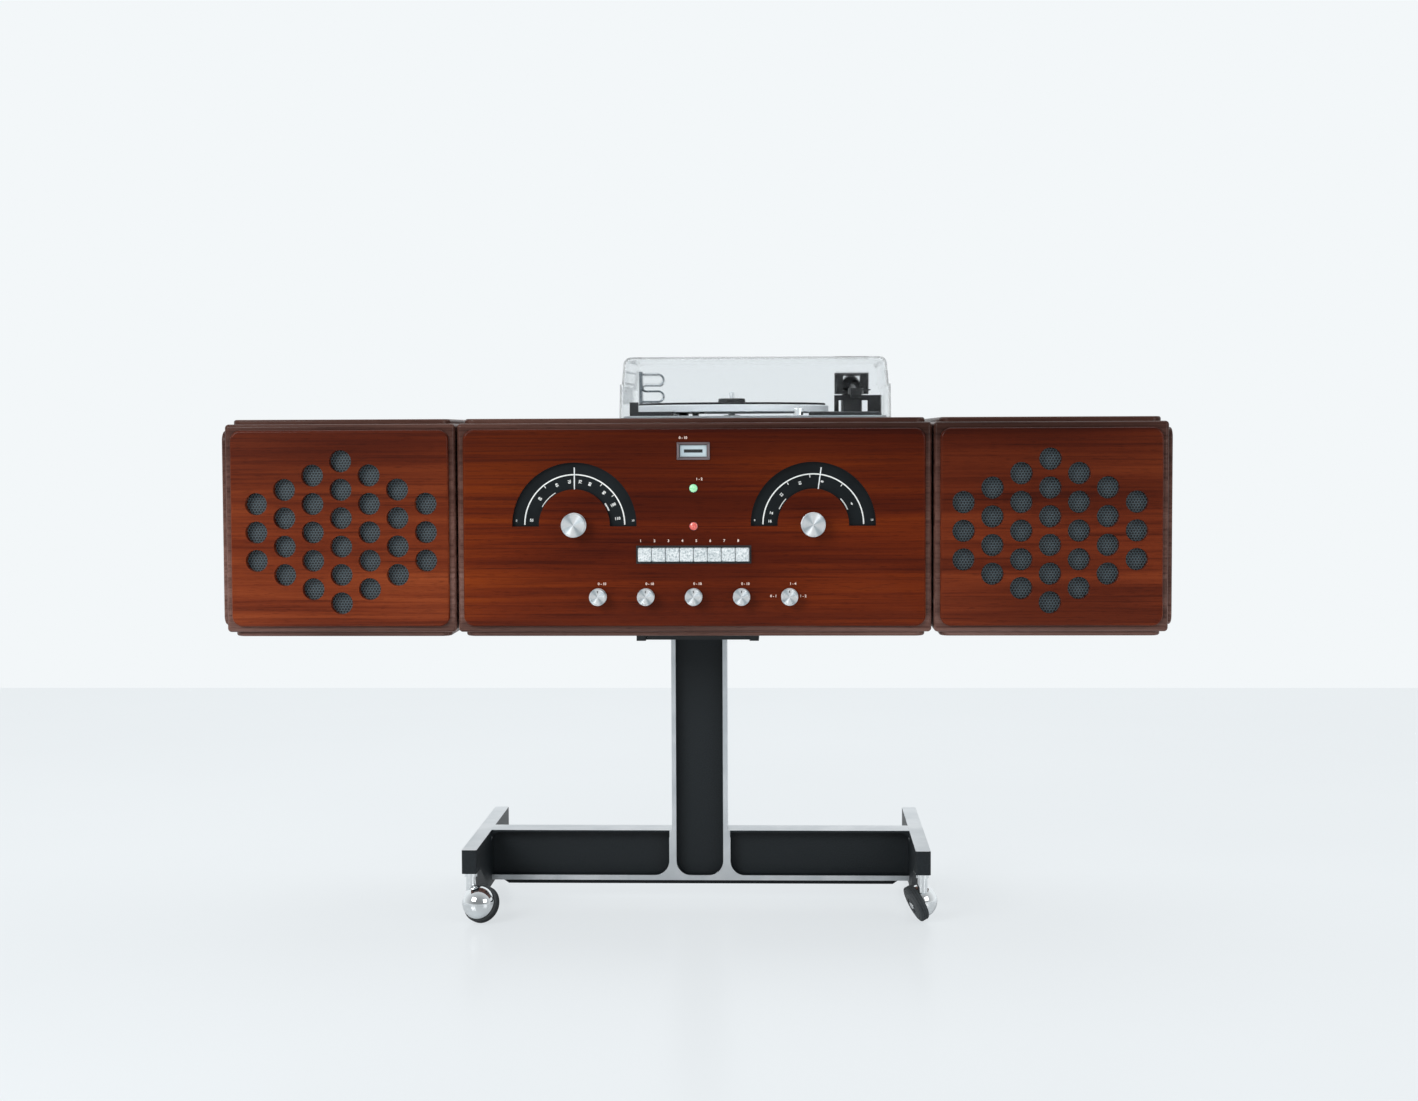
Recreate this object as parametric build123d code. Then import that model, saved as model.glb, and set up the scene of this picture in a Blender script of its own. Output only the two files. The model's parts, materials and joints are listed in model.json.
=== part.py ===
# Stereo record player: three wooden boxes on a cast stand with casters.
# X runs to the right, Y to the back, Z up; the floor is Z = 0 and the middle of the base is the origin.
from build123d import *
import os
from math import cos, sin, tan, radians, sqrt

os.makedirs("parts", exist_ok=True)

# Cabinets
centre_width = 620.0
speaker_width = 304.0
box_gap = 3.0
box_height = 274.0
box_underside = 389.0
front_face = -170.0
back_face = 190.0
board_proud = 6.0
board_inset = 8.0
board_corner = 14.0
board_edge = 3.0
box_edge = 5.0
box_wall = 16.0
board_plug = 6.0
plug_clearance = 0.2
back_board = 6.0
back_recess = 4.0

# Loudspeakers
hole_diameter = 29.0
hole_pitch = 37.3
hole_columns = (3, 4, 5, 6, 5, 4, 3)
pattern_shift = 2.0
grille_thickness = 1.2
baffle_thickness = 12.0
baffle_setback = 16.0
woofer_diameter = 165.0
woofer_depth = 72.0
tweeter_diameter = 66.0
tweeter_depth = 30.0

# Hooks between the boxes
hook_plate = 2.4
hook_plate_height = 84.0
hook_plate_depth = 150.0
hook_spacing = 90.0
hook_width = 22.0
hook_tongue = 4.0
hook_lip = 12.0
lift_off = 14.0
hang_clearance = 0.3

# Places up the fronts, as shares of the box's height
pattern_up = 0.4818
dial_up = 0.5146
knob_up = 0.1715
button_up = 0.3723
meter_up = 0.865
stereo_lamp_up = 0.688
power_lamp_up = 0.5073
slot_row_ups = (0.6752, 0.8212)
socket_up = 0.2299

# Dials and tuning
dial_spacing = 312.0
dial_outer = 81.5
dial_inner = 46.5
dial_drop = 2.0
dial_plate = 2.0
dial_skin = 4.0
pointer_plate = 0.8
pointer_gap = 0.8
pointer_width = 1.4
pointer_reach = 75.0
pointer_hub = 9.0
tuned_right = 8.0
tuning_diameter = 32.0
tuning_length = 18.5

# Small controls
knob_diameter = 22.5
knob_length = 16.0
knob_spacing = 62.5
knob_gap = 0.6
shaft_radius = 3.0
running = 0.05
shaft_length = 34.0
button_count = 8
button_pitch = 18.2
button_gap = 0.5
button_height = 18.0
button_length = 12.0
button_proud = 7.0
button_stem = 2.5
button_stem_length = 16.0
bezel_rim = 1.0
bezel_depth = 17.0
bezel_back = 3.0
meter_width = 43.0
meter_height = 23.0
meter_depth = 26.0
lamp_diameter = 11.6

# Radio chassis, placed from its own middle
chassis_width = 520.0
chassis_depth = 220.0
chassis_setback = 40.0
chassis_lip = 40.0
chassis_sheet = 2.0
transformer_core = (70.0, 60.0, 58.0)
transformer_winding = (50.0, 88.0, 38.0)
transformer_place = (-200.0, 40.0)
can_radius = 15.0
can_height = 52.0
can_pitch = 38.0
can_place = (-130.0, 70.0)
circuit_board = (215.0, 160.0, 2.0)
circuit_place = (127.5, 0.0)
circuit_post = 8.0
post_radius = 3.0
tuning_gang = (40.0, 50.0, 32.0)
gang_place = (80.0, -15.0)
coil_radius = 7.0
coil_height = 22.0
coil_pitch = 24.0
coil_place = (130.0, 40.0)
sink_size = (60.0, 4.0, 56.0)
sink_place = (-30.0, 22.0)
fin_size = (4.0, 20.0, 56.0)
fin_count = 6

# Back of the centre box
slot_count = 12
slot_pitch = 22.0
slot_size = (6.0, 28.0)
socket_count = 4
socket_pitch = 34.0
socket_start = -190.0
socket_hole = 8.0
socket_recess = (170.0, 40.0, 4.0)
inlet_x = 206.0
inlet_mouth = (32.0, 20.0)
inlet_wall = 4.0
inlet_depth = 12.0
inlet_pin = 1.8
inlet_pin_spacing = 14.0

# Deck
deck_centre = (80.0, 11.0)
deck_size = (346.0, 308.0)
deck_opening = (330.0, 292.0)
deck_plate_thickness = 3.0
deck_corner = 14.0
platter_centre = (46.0, 10.0)
platter_radius = 133.5
platter_gap = 5.0
platter_height = 10.0
platter_skin = 2.5
platter_rim = 4.5
platter_ribs = 6
mat_radius = 129.0
mat_thickness = 3.0
puck_radius = 19.0
puck_height = 7.0
spindle_radius = 3.6
spindle_above = 9.0
spindle_tip = 1.6
spindle_groove = (1.0, 0.4)
groove_above = 0.2
bearing_radius = 5.0
bearing_depth = 36.0
idler_radius = 30.0
idler_bearing = 135.0
pulley_radius = 6.0
pulley_bearing = 300.0
rolling_gap = 0.3
motor_radius = 44.0
motor_height = 52.0

# Tonearm
arm_pivot = (214.0, 105.0)
arm_above_deck = 44.0
arm_tube = 4.0
arm_length = 207.0
arm_drop = 13.0
arm_tail = 41.0
weight_radius = 13.0
weight_length = 20.0
yoke_size = (48.0, 30.0)
yoke_plate = 12.0
yoke_above_arm = 18.0
turret_radius = 15.0
turret_foot = (9.0, 5.0)
bridge_reach = (-28.0, 36.0)
bridge_legs = ((-28.0, -22.0), (-16.0, 9.0), (17.0, 36.0))
bridge_depth = 10.0
bridge_thickness = 7.0
bridge_foot = (24.0, 3.0)
right_strip = ((71.0, 164.0), (-148.0, -111.0), 5.0)
left_strip = ((-165.0, -107.0), (-148.0, -136.0), 5.5)
left_post = ((-165.0, -154.0), (-148.0, -136.0), 18.0)
rest_place = -50.0

# Dust cover
cover_size = (358.0, 322.0)
cover_height = 80.0
cover_step = 44.0
cover_step_inset = 3.0
cover_taper = 5.0
cover_wall = 3.0
cover_corner = 20.0
cover_seat = 0.3
hinge_spacing = 260.0
hinge_radius = 2.5
hinge_offset = 5.0
hinge_lug = 20.0
hinge_ear = 4.0
spring_wire = 1.5
spring_reach = 18.0
spring_bow = 15.0
spring_split = 9.0

# Stand
foot_spread = 620.0
foot_width = 20.0
foot_length = 340.0
foot_top = 99.0
foot_tip = 32.0
foot_belly = 77.0
column_width = 77.0
column_depth = 40.0
rim_width = 6.0
web_thickness = 6.0
crossbar_bottom = 29.0
crossbar_rim = 3.0
crossbar_floor = 7.0
recess_corner = 20.0
under_strip = 7.0
rail_spacing = 154.0
rail_width = 12.5
rail_height = 16.0
rail_length = 150.0

# Casters
wheel_radius = 25.0
wheel_width = 11.0
wheel_round = 2.0
wheel_tilt = 25.0
wheel_near = 1.0
hood_clearance = 0.7
hood_radius = 22.5
hood_wall = 2.2
caster_trail = 14.0
caster_side = 2.0
stem_radius = 4.0
stem_depth = 20.0
axle_radius = 2.5
caster_setback = 16.0

# Places that follow from the sizes above
box_top = box_underside + box_height
box_middle = box_underside + box_height / 2
body_front = front_face + board_proud
body_depth = back_face - body_front
body_centre_y = (back_face + body_front) / 2
cabinet_floor = box_underside - board_proud
cabinet_top = box_top + board_proud
plug_back = body_front + board_plug
base_y = (front_face + back_face) / 2
speaker_centre = centre_width / 2 + box_gap + speaker_width / 2
pattern_height = box_underside + pattern_up * box_height
dial_height = box_underside + dial_up * box_height
knob_height = box_underside + knob_up * box_height
button_row = box_underside + button_up * box_height
meter_centre = box_underside + meter_up * box_height
stereo_lamp_height = box_underside + stereo_lamp_up * box_height
power_lamp_height = box_underside + power_lamp_up * box_height
deck_top = cabinet_top + deck_plate_thickness
arm_height = deck_top + arm_above_deck
yoke_top = arm_height + yoke_above_arm
platter_base = deck_top + platter_gap
platter_top = platter_base + platter_height
mat_top = platter_top + mat_thickness
cover_base = cabinet_top + cover_seat
hinge_line = (cover_base + 5.0, deck_centre[1] + cover_size[1] / 2 + hinge_offset)


def save(node, solids):
    solids.label = node
    export_step(solids, "parts/" + node + ".step")


def facing_front(x, y, z):
    # a drawing plane that faces the viewer in front of the cabinet
    return Plane((x, y, z), x_dir=(1, 0, 0), z_dir=(0, -1, 0))


def rod(start, direction, radius, length):
    # a round bar from a point along a direction
    return extrude(Plane(start, z_dir=direction) * Circle(radius), length)


def block(x_range, y_range, z_range):
    # a box between two corners
    (x0, x1), (y0, y1), (z0, z1) = x_range, y_range, z_range
    return Pos((x0 + x1) / 2, (y0 + y1) / 2, (z0 + z1) / 2) * Box(x1 - x0, y1 - y0, z1 - z0)


def raised_board(plane, width, height, thickness):
    # a flat board with rounded corners and a softened outer edge
    board = extrude(plane * RectangleRounded(width, height, board_corner), thickness)
    outer = board.faces().sort_by(Axis(plane.origin, plane.z_dir))[-1]
    return fillet(outer.edges(), board_edge)


# Cabinet boxes
def box_shell(centre_x, width):
    # the box is open at the front and the back; its top and underside carry raised boards
    shell = Pos(centre_x, body_centre_y, box_middle) * Box(width, body_depth, box_height)
    shell = fillet(shell.edges(), box_edge)
    top = Plane((centre_x, body_centre_y, box_top), x_dir=(1, 0, 0), z_dir=(0, 0, 1))
    bottom = Plane((centre_x, body_centre_y, box_underside), x_dir=(1, 0, 0), z_dir=(0, 0, -1))
    for plane in (top, bottom):
        shell += raised_board(plane, width - 2 * board_inset, body_depth - 2 * board_inset, board_proud)
    inside_x = width / 2 - box_wall
    shell -= block((centre_x - inside_x, centre_x + inside_x),
                   (body_front - 1, back_face + 1),
                   (box_underside + box_wall, box_top - box_wall))
    return shell


def front_board(centre_x, width):
    # the raised front board and the plug that seats it in the box's mouth
    board = raised_board(facing_front(centre_x, body_front, box_middle),
                         width - 2 * board_inset, box_height - 2 * board_inset, board_proud)
    plug = facing_front(centre_x, plug_back, box_middle)
    width_in = width - 2 * box_wall - 2 * plug_clearance
    height_in = box_height - 2 * box_wall - 2 * plug_clearance
    return board + extrude(plug * Rectangle(width_in, height_in), board_plug)


def inner_board(centre_x, width, front, thickness, clearance=plug_clearance):
    # a board that fits across the inside of a box
    plane = facing_front(centre_x, front + thickness, box_middle)
    size_in = (width - 2 * box_wall - 2 * clearance, box_height - 2 * box_wall - 2 * clearance)
    return extrude(plane * Rectangle(*size_in), thickness)


def hook_places():
    # heights and depths of the two hooks on each side
    return [(base_y + side * hook_spacing / 2, box_middle) for side in (-1, 1)]


def centre_shell():
    shell = box_shell(0, centre_width)
    shell -= block((deck_centre[0] - deck_opening[0] / 2, deck_centre[0] + deck_opening[0] / 2),
                   (deck_centre[1] - deck_opening[1] / 2, deck_centre[1] + deck_opening[1] / 2),
                   (box_top - box_wall - 1, cabinet_top + 1))
    return shell


def speaker_shell(side):
    # a raised board closes the outer side; slots in the inner side take the hooks
    centre_x = side * speaker_centre
    shell = box_shell(centre_x, speaker_width)
    outer = Plane((centre_x + side * speaker_width / 2, body_centre_y, box_middle),
                  x_dir=(0, side, 0), z_dir=(side, 0, 0))
    shell += raised_board(outer, body_depth - 2 * board_inset, box_height - 2 * board_inset, board_proud)
    shell += inner_board(centre_x, speaker_width, back_face - back_recess - back_board, back_board, 0)
    inner_x = centre_x - side * speaker_width / 2
    for hook_y, hook_z in hook_places():
        shell -= block(sorted((inner_x - side, inner_x + side * (box_wall + 1))),
                       (hook_y - hook_width / 2 - 1, hook_y + hook_width / 2 + 1),
                       (hook_z - hook_tongue - hang_clearance - lift_off, hook_z + hang_clearance))
    return shell


def speaker_hooks():
    # a thin plate on each side of the centre box with two hooks that turn up inside the speaker box
    hooks = []
    for side in (-1, 1):
        face = side * centre_width / 2
        plate = block(sorted((face, face + side * hook_plate)),
                      (base_y - hook_plate_depth / 2, base_y + hook_plate_depth / 2),
                      (box_middle - hook_plate_height / 2, box_middle + hook_plate_height / 2))
        reach = box_gap + box_wall + hang_clearance
        for hook_y, hook_z in hook_places():
            span_y = (hook_y - hook_width / 2, hook_y + hook_width / 2)
            plate += block(sorted((face, face + side * (reach + hook_tongue))), span_y,
                           (hook_z - hook_tongue, hook_z))
            plate += block(sorted((face + side * reach, face + side * (reach + hook_tongue))), span_y,
                           (hook_z - hook_tongue, hook_z - hook_tongue + hook_lip))
        hooks.append(plate)
    return Compound(children=hooks)


# Front of the centre box
def dial_x(side):
    return side * dial_spacing / 2


def half_ring(outer, inner, drop):
    # a half ring that reaches a little under its centre line
    ring = Circle(outer) - Circle(inner)
    return ring & Pos(0, (outer - drop) / 2) * Rectangle(2 * outer, outer + drop)


def centre_front():
    board = front_board(0, centre_width)
    pocket_radius = dial_outer + 4.5
    for side in (-1, 1):
        plane = facing_front(dial_x(side), plug_back, dial_height)
        board -= extrude(plane * Circle(pocket_radius), plug_back - front_face - dial_skin)
        board -= extrude(plane * half_ring(dial_outer, dial_inner, dial_drop), 20)
        board -= extrude(plane * Circle(shaft_radius + running), 20)
    for place in range(5):
        plane = facing_front((place - 2) * knob_spacing, plug_back, knob_height)
        board -= extrude(plane * Circle(shaft_radius + running), 20)
    slot = (button_count * button_pitch + 2 * bezel_rim, button_height + 1 + 2 * bezel_rim)
    board -= extrude(facing_front(0, plug_back, button_row) * Rectangle(*slot), 20)
    meter = Rectangle(meter_width - 4, meter_height - 4)
    board -= extrude(facing_front(0, plug_back, meter_centre) * meter, 20)
    for height in (stereo_lamp_height, power_lamp_height):
        board -= extrude(facing_front(0, plug_back, height) * Circle(lamp_diameter / 2 - 1.5), 20)
    return board


def dial_scales():
    # two plates that lie in the pockets behind the half-ring windows
    front = front_face + dial_skin + 2 * pointer_gap + pointer_plate
    plates = []
    for side in (-1, 1):
        plane = facing_front(dial_x(side), front + dial_plate, dial_height)
        radius = dial_outer + 4.5 - plug_clearance
        disc = Circle(radius) & Pos(0, (radius - pointer_hub * 2) / 2) * Rectangle(
            2 * radius, radius + pointer_hub * 2)
        disc -= Circle(pointer_hub + running)
        plates.append(extrude(plane * disc, dial_plate))
    return Compound(children=plates)


def dial_pointer(side, angle):
    # a hub on the tuning shaft with a thin arm that runs behind the front board
    front = front_face + dial_skin + pointer_gap
    plane = facing_front(dial_x(side), front + pointer_plate, dial_height)
    arm = Pos(0, pointer_reach / 2) * Rectangle(pointer_width, pointer_reach)
    tail = Pos(0, -pointer_hub / 2 - 2) * Rectangle(4, pointer_hub + 4)
    needle = extrude(plane * Rot(0, 0, -angle) * (Circle(pointer_hub) + arm + tail), pointer_plate)
    barrel = facing_front(dial_x(side), front + pointer_plate + 7, dial_height)
    needle += extrude(barrel * Circle(pointer_hub), 7)
    return needle - extrude(barrel * Circle(shaft_radius + running), 20)


def turned_knob(x, z, diameter, length, index):
    # a turned knob with a chamfered rim, a shallow dished face and its shaft
    radius = diameter / 2
    back = front_face - knob_gap
    profile = Polyline((0, 0), (radius - 1.0, 0), (radius - 1.0, 2.5), (radius, 3.2), (radius, length - 1.2),
                       (radius - 1.2, length), (radius - 3.0, length), (radius - 3.4, length - 0.6),
                       (0, length - 0.9), close=True)
    plane = Plane((x, back, z), x_dir=(1, 0, 0), z_dir=(0, 0, -1))
    knob = revolve(plane * make_face(profile), Axis((x, back, z), (0, -1, 0)), 360)
    if index:
        mark = Pos(0, radius - 2.2) * Rectangle(1.0, 3.6)
        knob -= extrude(facing_front(x, back - length + 0.4, z) * mark, 2)
    return knob + rod((x, back, z), (0, 1, 0), shaft_radius, shaft_length)


def push_button(place):
    # a finger plate with soft edges and a guide stem
    x = (place - (button_count - 1) / 2) * button_pitch
    front = front_face - button_proud
    plane = facing_front(x, front + button_length, button_row)
    cap = extrude(plane * Rectangle(button_pitch - button_gap, button_height), button_length)
    face = cap.faces().sort_by(Axis.Y)[0]
    cap = fillet(face.edges(), 1.6)
    return cap + rod((x, front + button_length, button_row), (0, 1, 0), button_stem, button_stem_length)


def button_guide():
    # the dark box round the row of buttons; its back guides their stems
    width = button_count * button_pitch + 2 * bezel_rim - 2 * plug_clearance
    height = button_height + 1 + 2 * bezel_rim - 2 * plug_clearance
    back = front_face + bezel_depth
    guide = extrude(facing_front(0, back, button_row) * Rectangle(width, height), bezel_depth + 0.6)
    flange = Rectangle(width + 3, height + 3)
    guide += extrude(facing_front(0, front_face, button_row) * flange, 0.8)
    room = Rectangle(width - 2 * bezel_rim, height - 2 * bezel_rim)
    guide -= extrude(facing_front(0, back - bezel_back, button_row) * room, bezel_depth)
    for place in range(button_count):
        x = (place - (button_count - 1) / 2) * button_pitch
        guide -= rod((x, back + 1, button_row), (0, -1, 0), button_stem + running, bezel_back + 2)
    return guide


def tuning_meter():
    # a framed signal meter with a sunk window and its case behind the board
    frame = extrude(facing_front(0, front_face, meter_centre) * Rectangle(meter_width, meter_height), 2.2)
    frame = chamfer(frame.faces().sort_by(Axis.Y)[0].edges(), 1.2)
    frame -= extrude(facing_front(0, front_face - 0.9, meter_centre) * Rectangle(
        meter_width - 8, meter_height - 8), 3)
    case = Rectangle(meter_width - 4 - 2 * plug_clearance, meter_height - 4 - 2 * plug_clearance)
    return frame + extrude(facing_front(0, front_face + meter_depth, meter_centre) * case, meter_depth)


def pilot_lamp(height):
    # a domed jewel with its holder behind the board
    jewel = extrude(facing_front(0, front_face, height) * Circle(lamp_diameter / 2), 3.0)
    jewel = fillet(jewel.faces().sort_by(Axis.Y)[0].edges(), 2.4)
    return jewel + rod((0, front_face, height), (0, 1, 0), lamp_diameter / 2 - 1.6, 28)


# Inside and back of the centre box
def standing(centre, size, low):
    # a block that stands on a level, given by its middle and its size
    (x, y), (wide, deep, high) = centre, size
    return block((x - wide / 2, x + wide / 2), (y - deep / 2, y + deep / 2), (low, low + high))


def radio_chassis():
    # folded tray with transformer, capacitors, tuning gang, coils and cooling fins
    floor = box_underside + box_wall
    top = floor + chassis_sheet
    middle = back_face - chassis_setback - chassis_depth / 2

    def at(place, x=0.0, y=0.0):
        return place[0] + x, middle + place[1] + y

    tray = standing((0, middle), (chassis_width, chassis_depth, chassis_sheet), floor)
    for end in (-1, 1):
        lip_y = middle + end * (chassis_depth - chassis_sheet) / 2
        tray += standing((0, lip_y), (chassis_width, chassis_sheet, chassis_lip), floor)
    tray += standing(at(transformer_place), transformer_core, top)
    winding_low = top + (transformer_core[2] - transformer_winding[2]) / 2
    winding = standing(at(transformer_place), transformer_winding, winding_low)
    tray += fillet(winding.edges().filter_by(Axis.Z), transformer_winding[0] / 8)
    for place in range(3):
        tray += rod((*at(can_place, can_pitch * place), floor + 1), (0, 0, 1), can_radius, can_height)
    board_low = top + circuit_post
    tray += standing(at(circuit_place), circuit_board, board_low)
    for x in (-1, 1):
        for y in (-1, 1):
            corner = at(circuit_place, x * (circuit_board[0] / 2 - 2 * post_radius),
                        y * (circuit_board[1] / 2 - 2 * post_radius))
            tray += rod((*corner, floor + 1), (0, 0, 1), post_radius, chassis_sheet + circuit_post)
    board_top = board_low + circuit_board[2]
    tray += standing(at(gang_place), tuning_gang, board_top)
    for place in range(4):
        tray += rod((*at(coil_place, coil_pitch * place), board_low + 1), (0, 0, 1), coil_radius, coil_height)
    tray += standing(at(sink_place), sink_size, top)
    for fin in range(fin_count):
        fin_x = (fin / (fin_count - 1) - 0.5) * (sink_size[0] - fin_size[0])
        tray += standing(at(sink_place, fin_x, fin_size[1] / 2), fin_size, top)
    return tray


def back_panel():
    # a thin board with two rows of air slots, a sunk row of sockets and the mains inlet
    front = back_face - back_recess - back_board
    panel = inner_board(0, centre_width, front, back_board)

    def opening(x, z, width, height, depth):
        return block((x - width / 2, x + width / 2), (back_face - back_recess - depth, back_face),
                     (z - height / 2, z + height / 2))

    for share in slot_row_ups:
        for place in range(slot_count):
            x = (place - (slot_count - 1) / 2) * slot_pitch
            panel -= opening(x, box_underside + share * box_height, *slot_size, back_board + 1)
    row = box_underside + socket_up * box_height
    middle = socket_start + (socket_count - 1) * socket_pitch / 2 + socket_pitch / 2
    panel -= opening(middle, row, *socket_recess)
    for place in range(socket_count):
        start = (socket_start + socket_pitch * place, back_face, row)
        panel -= rod(start, (0, -1, 0), socket_hole, back_recess + back_board + 1)
        panel += rod((start[0], front + 2.5, row), (0, -1, 0), socket_hole + 1, socket_hole)
    panel -= opening(inlet_x, row, *inlet_mouth, back_board + 1)
    box_y = (front - inlet_depth - inlet_wall, front + 0.5)
    inlet = block((inlet_x - inlet_mouth[0] / 2 - inlet_wall, inlet_x + inlet_mouth[0] / 2 + inlet_wall), box_y,
                  (row - inlet_mouth[1] / 2 - inlet_wall, row + inlet_mouth[1] / 2 + inlet_wall))
    inlet -= opening(inlet_x, row, *inlet_mouth, back_board + inlet_depth)
    panel += inlet
    for end in (-1, 1):
        pin = (inlet_x + end * inlet_pin_spacing / 2, front - inlet_depth - 1, row)
        panel += rod(pin, (0, 1, 0), inlet_pin, inlet_depth)
    return panel


# Loudspeakers
def hole_places():
    # seven upright columns, each half a step off its neighbours
    places = []
    for column, count in enumerate(hole_columns):
        for row in range(count):
            places.append(((column - 3) * hole_pitch, (row - (count - 1) / 2) * hole_pitch))
    return places


def speaker_pattern_x(side):
    return side * (speaker_centre - pattern_shift)


def speaker_front(side):
    board = front_board(side * speaker_centre, speaker_width)
    plane = facing_front(speaker_pattern_x(side), plug_back + 1, pattern_height)
    holes = Sketch() + [Pos(x, y) * Circle(hole_diameter / 2) for x, y in hole_places()]
    return board - extrude(plane * holes, board_plug + board_proud + 4)


def speaker_grille(side):
    return inner_board(side * speaker_centre, speaker_width, plug_back, grille_thickness)


def cone_speaker(x, z, face, diameter, depth):
    # basket flange, paper cone with its dust cap, basket and magnet
    radius = diameter / 2
    flange = rod((x, face, z), (0, 1, 0), radius, 4)
    plane = Plane((x, face, z), x_dir=(1, 0, 0), z_dir=(0, 0, 1))
    hollow = Polyline((0, -1), (radius - 10, -1), (radius - 10, 2), (radius * 0.3, depth * 0.45),
                      (radius * 0.16, depth * 0.40), (0, depth * 0.36), close=True)
    outer = Polyline((0, 3), (radius - 6, 3), (radius - 8, depth * 0.2), (radius * 0.42, depth * 0.62),
                     (radius * 0.42, depth * 0.68), (radius * 0.52, depth * 0.68), (radius * 0.52, depth),
                     (0, depth), close=True)
    axis = Axis((x, face, z), (0, 1, 0))
    driver = flange + revolve(plane * make_face(outer), axis, 360)
    return driver - revolve(plane * make_face(hollow), axis, 360)


def speaker_drivers(side):
    # the inner board with its woofer and tweeter
    centre_x = side * speaker_centre
    front = plug_back + baffle_setback
    board = inner_board(centre_x, speaker_width, front, baffle_thickness)
    woofer = (centre_x + side * 30, pattern_height - 10)
    tweeter = (centre_x - side * 86, pattern_height + 52)
    for (x, z), size in ((woofer, woofer_diameter), (tweeter, tweeter_diameter)):
        board -= rod((x, front - 1, z), (0, 1, 0), size / 2 - 5, baffle_thickness + 2)
    board += cone_speaker(*woofer, front - 3.5, woofer_diameter, woofer_depth)
    board += cone_speaker(*tweeter, front - 3.5, tweeter_diameter, tweeter_depth)
    return board


# Deck
def polar(centre, radius, angle):
    return (centre[0] + radius * cos(radians(angle)), centre[1] + radius * sin(radians(angle)))


idler_centre = polar(platter_centre, platter_radius - platter_rim - rolling_gap - idler_radius, idler_bearing)
pulley_centre = polar(idler_centre, idler_radius + rolling_gap + pulley_radius, pulley_bearing)
lever_place = (137.0, -126.0)


def deck_plate():
    # pressed plate with a flange that drops into the opening, and the platter's bearing tube
    x, y = deck_centre
    sheet = RectangleRounded(*deck_size, deck_corner)
    plate = extrude(Pos(x, y, cabinet_top) * sheet, deck_plate_thickness)
    plate = fillet(plate.faces().sort_by(Axis.Z)[-1].edges(), 1.5)
    flange = Pos(x, y, cabinet_top - 12) * Rectangle(deck_opening[0] - 2, deck_opening[1] - 2)
    inner = Pos(x, y, cabinet_top - 12) * Rectangle(deck_opening[0] - 6, deck_opening[1] - 6)
    plate += extrude(flange - inner, 12.5)
    px, py = platter_centre
    plate += rod((px, py, deck_top + 2), (0, 0, -1), bearing_radius + 6, bearing_depth + 8)
    plate -= rod((px, py, deck_top + 3), (0, 0, -1), bearing_radius + running,
                 bearing_depth + 3 + rolling_gap)
    plate -= rod((*pulley_centre, deck_top + 1), (0, 0, -1), pulley_radius + 5, 6)
    plate += rod((*idler_centre, deck_top), (0, 0, -1), 8, 16)
    plate -= rod((*idler_centre, deck_top + 1), (0, 0, -1), shaft_radius + running, 20)
    plate += rod((*lever_place, deck_top), (0, 0, -1), 7, 14)
    plate -= rod((*lever_place, deck_top + 1), (0, 0, -1), shaft_radius + running, 20)
    return plate


def platter():
    # cast plate with a deep rim, a hub with its lower shaft and the record spindle
    px, py = platter_centre
    depth = platter_height
    profile = Polyline((0, 0), (20, 0), (20, depth - platter_skin), (platter_radius - platter_rim, depth - platter_skin),
                       (platter_radius - platter_rim, 0), (platter_radius - 1, 0), (platter_radius, 1),
                       (platter_radius, depth - 1), (platter_radius - 1, depth), (0, depth), close=True)
    plane = Plane((px, py, platter_base), x_dir=(1, 0, 0), z_dir=(0, -1, 0))
    disc = revolve(plane * make_face(profile), Axis((px, py, 0), (0, 0, 1)), 360)
    pulley_reach = sqrt((pulley_centre[0] - px) ** 2 + (pulley_centre[1] - py) ** 2)
    rib_end = pulley_reach - pulley_radius - 2
    for spoke in range(platter_ribs):
        rib = block((18, rib_end), (-1.2, 1.2), (platter_base + 4, platter_top - 1))
        disc += Pos(px, py, 0) * Rot(0, 0, 360 / platter_ribs * spoke + 15) * rib
    disc += rod((px, py, platter_base + 1), (0, 0, -1), bearing_radius, platter_gap + 1 + bearing_depth)
    tip = platter_top + mat_thickness + puck_height + spindle_above
    spindle = rod((px, py, platter_top - 1), (0, 0, 1), spindle_radius, tip - platter_top + 1)
    spindle = fillet(spindle.faces().sort_by(Axis.Z)[-1].edges(), spindle_tip)
    width, depth_in = spindle_groove
    groove_low = tip - spindle_above + groove_above - width
    ring = rod((px, py, groove_low), (0, 0, 1), spindle_radius + 1, width)
    spindle -= ring - rod((px, py, groove_low), (0, 0, 1), spindle_radius - depth_in, width)
    return disc + spindle


def platter_mat():
    # ribbed mat with the large-hole puck at its middle
    px, py = platter_centre
    mat = rod((px, py, platter_top), (0, 0, 1), mat_radius, mat_thickness)
    for radius in (52, 74, 96, 118):
        groove = Circle(radius + 5) - Circle(radius - 5)
        mat -= extrude(Pos(px, py, mat_top - 0.8) * groove, 2)
    mat -= rod((px, py, platter_top - 1), (0, 0, 1), spindle_radius + running, 20)
    puck = rod((px, py, mat_top), (0, 0, 1), puck_radius, puck_height)
    puck = chamfer(puck.faces().sort_by(Axis.Z)[-1].edges(), 1.5)
    puck -= rod((px, py, mat_top - 1), (0, 0, 1), spindle_radius + running, 20)
    return Compound(children=[mat, puck])


def idler_wheel():
    # thin wheel with a rubber edge that drives the inside of the platter's rim
    wheel = rod((*idler_centre, platter_base), (0, 0, 1), idler_radius, 4.5)
    wheel = chamfer(wheel.edges().filter_by(GeomType.CIRCLE), 0.8)
    wheel += rod((*idler_centre, platter_base - 4), (0, 0, 1), 7, 5)
    return wheel + rod((*idler_centre, platter_base), (0, 0, -1), shaft_radius, platter_gap + 16)


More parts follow.
